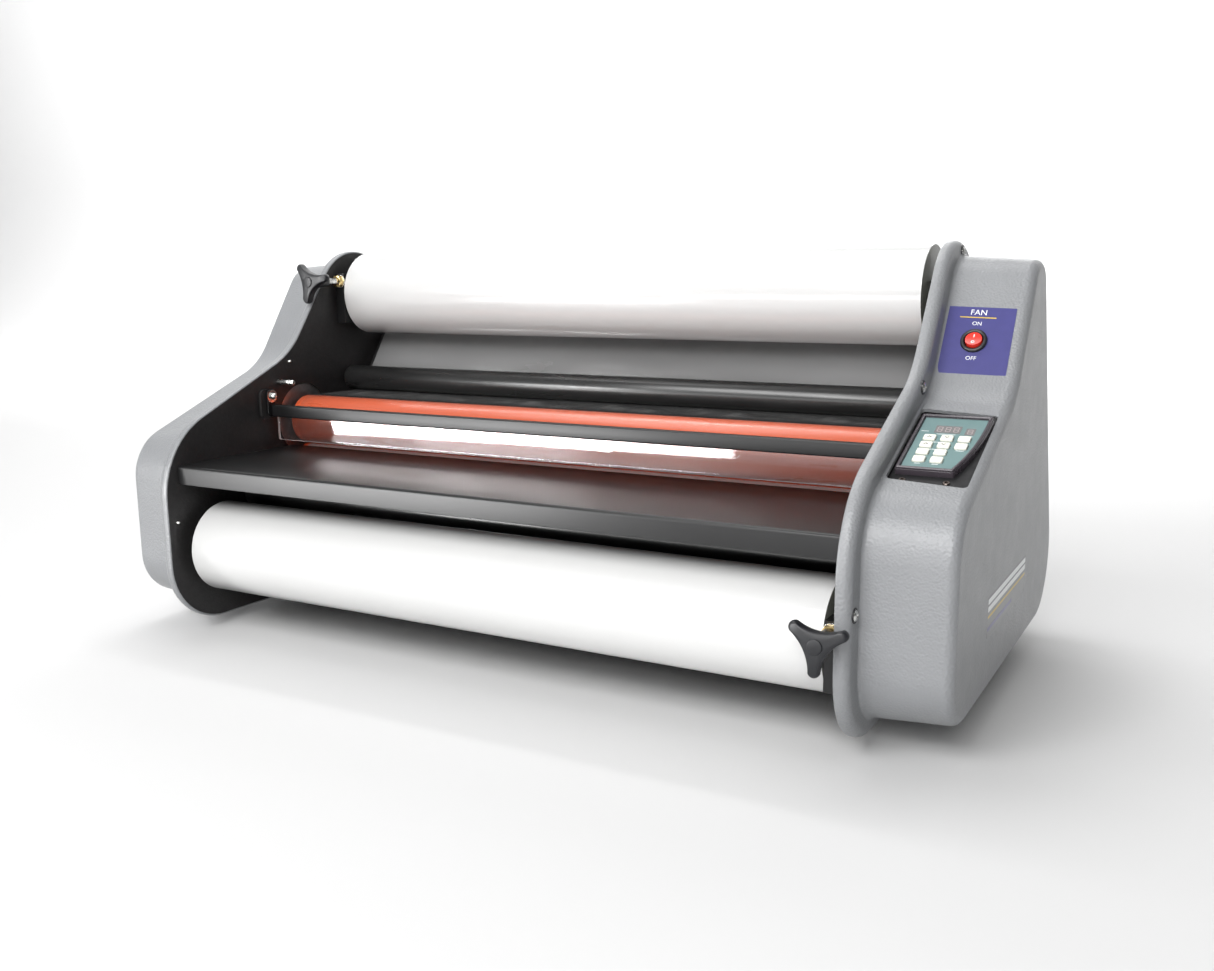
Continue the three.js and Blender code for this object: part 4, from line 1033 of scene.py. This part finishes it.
def rocker_cap(name, rings=8, segments=48):
    """A round cap with a dished top: the first two rings are its wall, the rest lie on the top."""
    levels = [(0.999, -3.2), (1.0, 1.6), (0.97, 0)] + [(1 - k / rings, 0) for k in range(1, rings + 1)]
    points = []
    for index, (scale, n) in enumerate(levels):
        for u, v in circle(0, 0, ROCKER_R * scale, segments):
            points.append(on_rocker(u, v, n if index < 2 else rocker_top(u, v)))
    return build(name, points, [list(range(segments))] + skin(segments, len(levels)), "red")


settle(rocker_cap("fan_rocker_cap"), "fan_rocker", "fan_switch_rocker", sharp=40)


def on_rocker_top(u, v, n):
    return on_rocker(u, v, rocker_top(u, v) + n)


marks = ([rounded_box(-0.45, 0.45, 1.9, 5.1, 0.3, 2)], [circle(0, -3.5, 1.6, 24), circle(0, -3.5, 0.9, 20)])
parts = [plate("mark", loops, 0.0, 0.12, on_rocker_top, "white_ink") for loops in marks]
settle(joined("fan_rocker_marks", parts), "fan_rocker")

# ---- CAD nodes that stay: (paint, edge radius, nodes) ----
KEPT = (
    ("wrinkle", 0.5, ("base_pan", "left_shield_bracket", "right_shield_bracket")),
    ("wrinkle", 0.4, ("rear_hood", "left_table_rail", "right_table_rail")),
    ("wrinkle", 0.3, ("blower_housing",)),
    ("satin", 0.8, ("upper_brake_clamp", "lower_brake_clamp", "upper_shaft_rest", "lower_shaft_rest")),
    ("bearing", 0.6, ("left_bearing_plate", "right_bearing_plate")),
    ("steel", 0.8, ("gear_motor",)), ("steel", 0.3, ("drive_chain",)),
    ("steel", 0.2, ("upper_roller_core", "lower_roller_core")),
    ("steel", 0.0, ("upper_heater_rod", "lower_heater_rod")),
    ("brass", 0.15, ("motor_pinion",)), ("board", 0.3, ("control_board",)),
    ("rubber", 1.0, ("left_foot_rail", "right_foot_rail")), ("rubber", 0.0, ("lower_pull_roller",)),
    ("plastic", 0.4, ("power_inlet",)), ("plastic", 0.0, ("blower_drum",)),
    ("face", 0.0, ("keypad_face",)), ("red", 0.4, ("power_rocker",)),
)
for paint, bevel, names in KEPT:
    for node in names:
        shown = NODES[node]
        shown.data.materials.clear()
        shown.data.materials.append(M[paint])
        shown.modifiers.new("weld", "WELD").merge_threshold = 1e-6
        if bevel:
            round_edges(shown, bevel)

# Contacts inside the power inlet.
inlet_low, inlet_high = span("power_inlet")
INLET_Z = (inlet_low.z + inlet_high.z) / 2
SOCKET_X = inlet_low.x + 21
pins = []
for dx, dz in ((-7, 2.2), (0, -2.2), (7, 2.2)):
    blade = rounded_box(SOCKET_X + dx - 1, SOCKET_X + dx + 1, INLET_Z + dz - 2, INLET_Z + dz + 2, 0.5, 3)
    pins.append(plate("blade", [blade], -inlet_high.y + 4, -inlet_high.y + 19, front_at, "zinc", 0.3))
settle(joined("inlet_contacts", pins), "frame")

# ---- floor, light and camera ----


def sweep():
    """A pale floor that curves up into a backdrop behind the machine."""
    rise = arc((2600, 900), 900, 1.5 * math.pi, 2 * math.pi, 24)
    path = [(-8000, 0)] + rise + [(3500, 4200)]
    points = [(x, y, z) for x in (-9000, 9000) for y, z in path]
    count = len(path)
    faces = [[i, i + 1, i + 1 + count, i + count] for i in range(count - 1)]
    return build("backdrop", points, faces, "backdrop")


floor = sweep()
floor.data.shade_smooth()


def soft_light(name, at, aim, width, height, power, shine_only=False):
    """An area light; one that is shine_only shows in glossy surfaces and lights nothing else."""
    lamp = bpy.data.lights.new(name, "AREA")
    lamp.shape = "RECTANGLE"
    lamp.size, lamp.size_y, lamp.energy = width, height, power
    holder = in_scene(name, lamp)
    holder.location = at
    holder.rotation_euler = (Vector(aim) - Vector(at)).to_track_quat("-Z", "Y").to_euler()
    holder.visible_camera = False
    holder.visible_diffuse = not shine_only


soft_light("key", (-0.2, -2.1, 1.9), (0, 0, 0.2), 1.5, 1.2, 52)
soft_light("front", (0.9, -2.5, 1.5), (0.2, 0, 0.2), 1.2, 0.9, 34)
soft_light("top", (-0.55, 0.2, 2.1), (-0.2, 0, 0.2), 1.4, 1.2, 16)
soft_light("rear", (-0.8, 2.4, 1.6), (0, 0.1, 0.25), 2.0, 1.0, 12)
soft_light("backdrop_wash", (-2.4, 1.2, 3.0), (-2.4, 3.6, 1.2), 6.0, 1.0, 170)
soft_light("low_card", (-0.62, -0.85, 0.105), (-0.62, 0, 0.105), 0.66, 0.11, 7, True)
soft_light("low_front", (-1.4, -1.9, 0.6), (-0.1, 0, 0.2), 0.8, 0.36, 28, True)
soft_light("low_fill", (0.1, -2.3, 0.2), (0, 0, 0.3), 1.8, 0.3, 9)

# The studio is bright on the left and dim on the right, so the right cover's side falls away.
world = bpy.data.worlds.new("studio")
bpy.context.scene.world = world
world.use_nodes = True
sky, wire = world.node_tree.nodes, world.node_tree.links.new
way, split, dimming = (sky.new("ShaderNode" + kind) for kind in ("TexCoord", "SeparateXYZ", "MapRange"))
wire(way.outputs["Generated"], split.inputs["Vector"])
wire(split.outputs["X"], dimming.inputs["Value"])
for socket, value in (("From Min", -0.6), ("From Max", 0.8), ("To Min", 0.45), ("To Max", 0.12)):
    dimming.inputs[socket].default_value = value
wire(dimming.outputs["Result"], sky["Background"].inputs["Strength"])
sky["Background"].inputs["Color"].default_value = (1, 1, 1, 1)



def camera(at, yaw, pitch, roll, lens):
    """A camera at a place in metres, turned by angles in degrees."""
    yaw, pitch, roll = (math.radians(angle) for angle in (yaw, pitch, roll))
    ahead = Vector((-math.sin(yaw) * math.cos(pitch), math.cos(yaw) * math.cos(pitch), -math.sin(pitch)))
    right = ahead.cross(Vector((0, 0, 1))).normalized()
    up = right.cross(ahead)
    tilted_right = right * math.cos(roll) + up * math.sin(roll)
    tilted_up = up * math.cos(roll) - right * math.sin(roll)
    data = bpy.data.cameras.new("camera")
    data.lens = lens
    data.sensor_width = 36
    data.clip_start = 0.02
    holder = in_scene("camera", data)
    turn = Matrix((tilted_right, tilted_up, -ahead)).transposed().to_4x4()
    holder.matrix_world = Matrix.Translation(at) @ turn
    bpy.context.scene.camera = holder


camera((0.62628, -1.04839, 0.38421), 29.290, 10.554, -0.560, 35.11)
bpy.context.scene.view_settings.view_transform = "Standard"
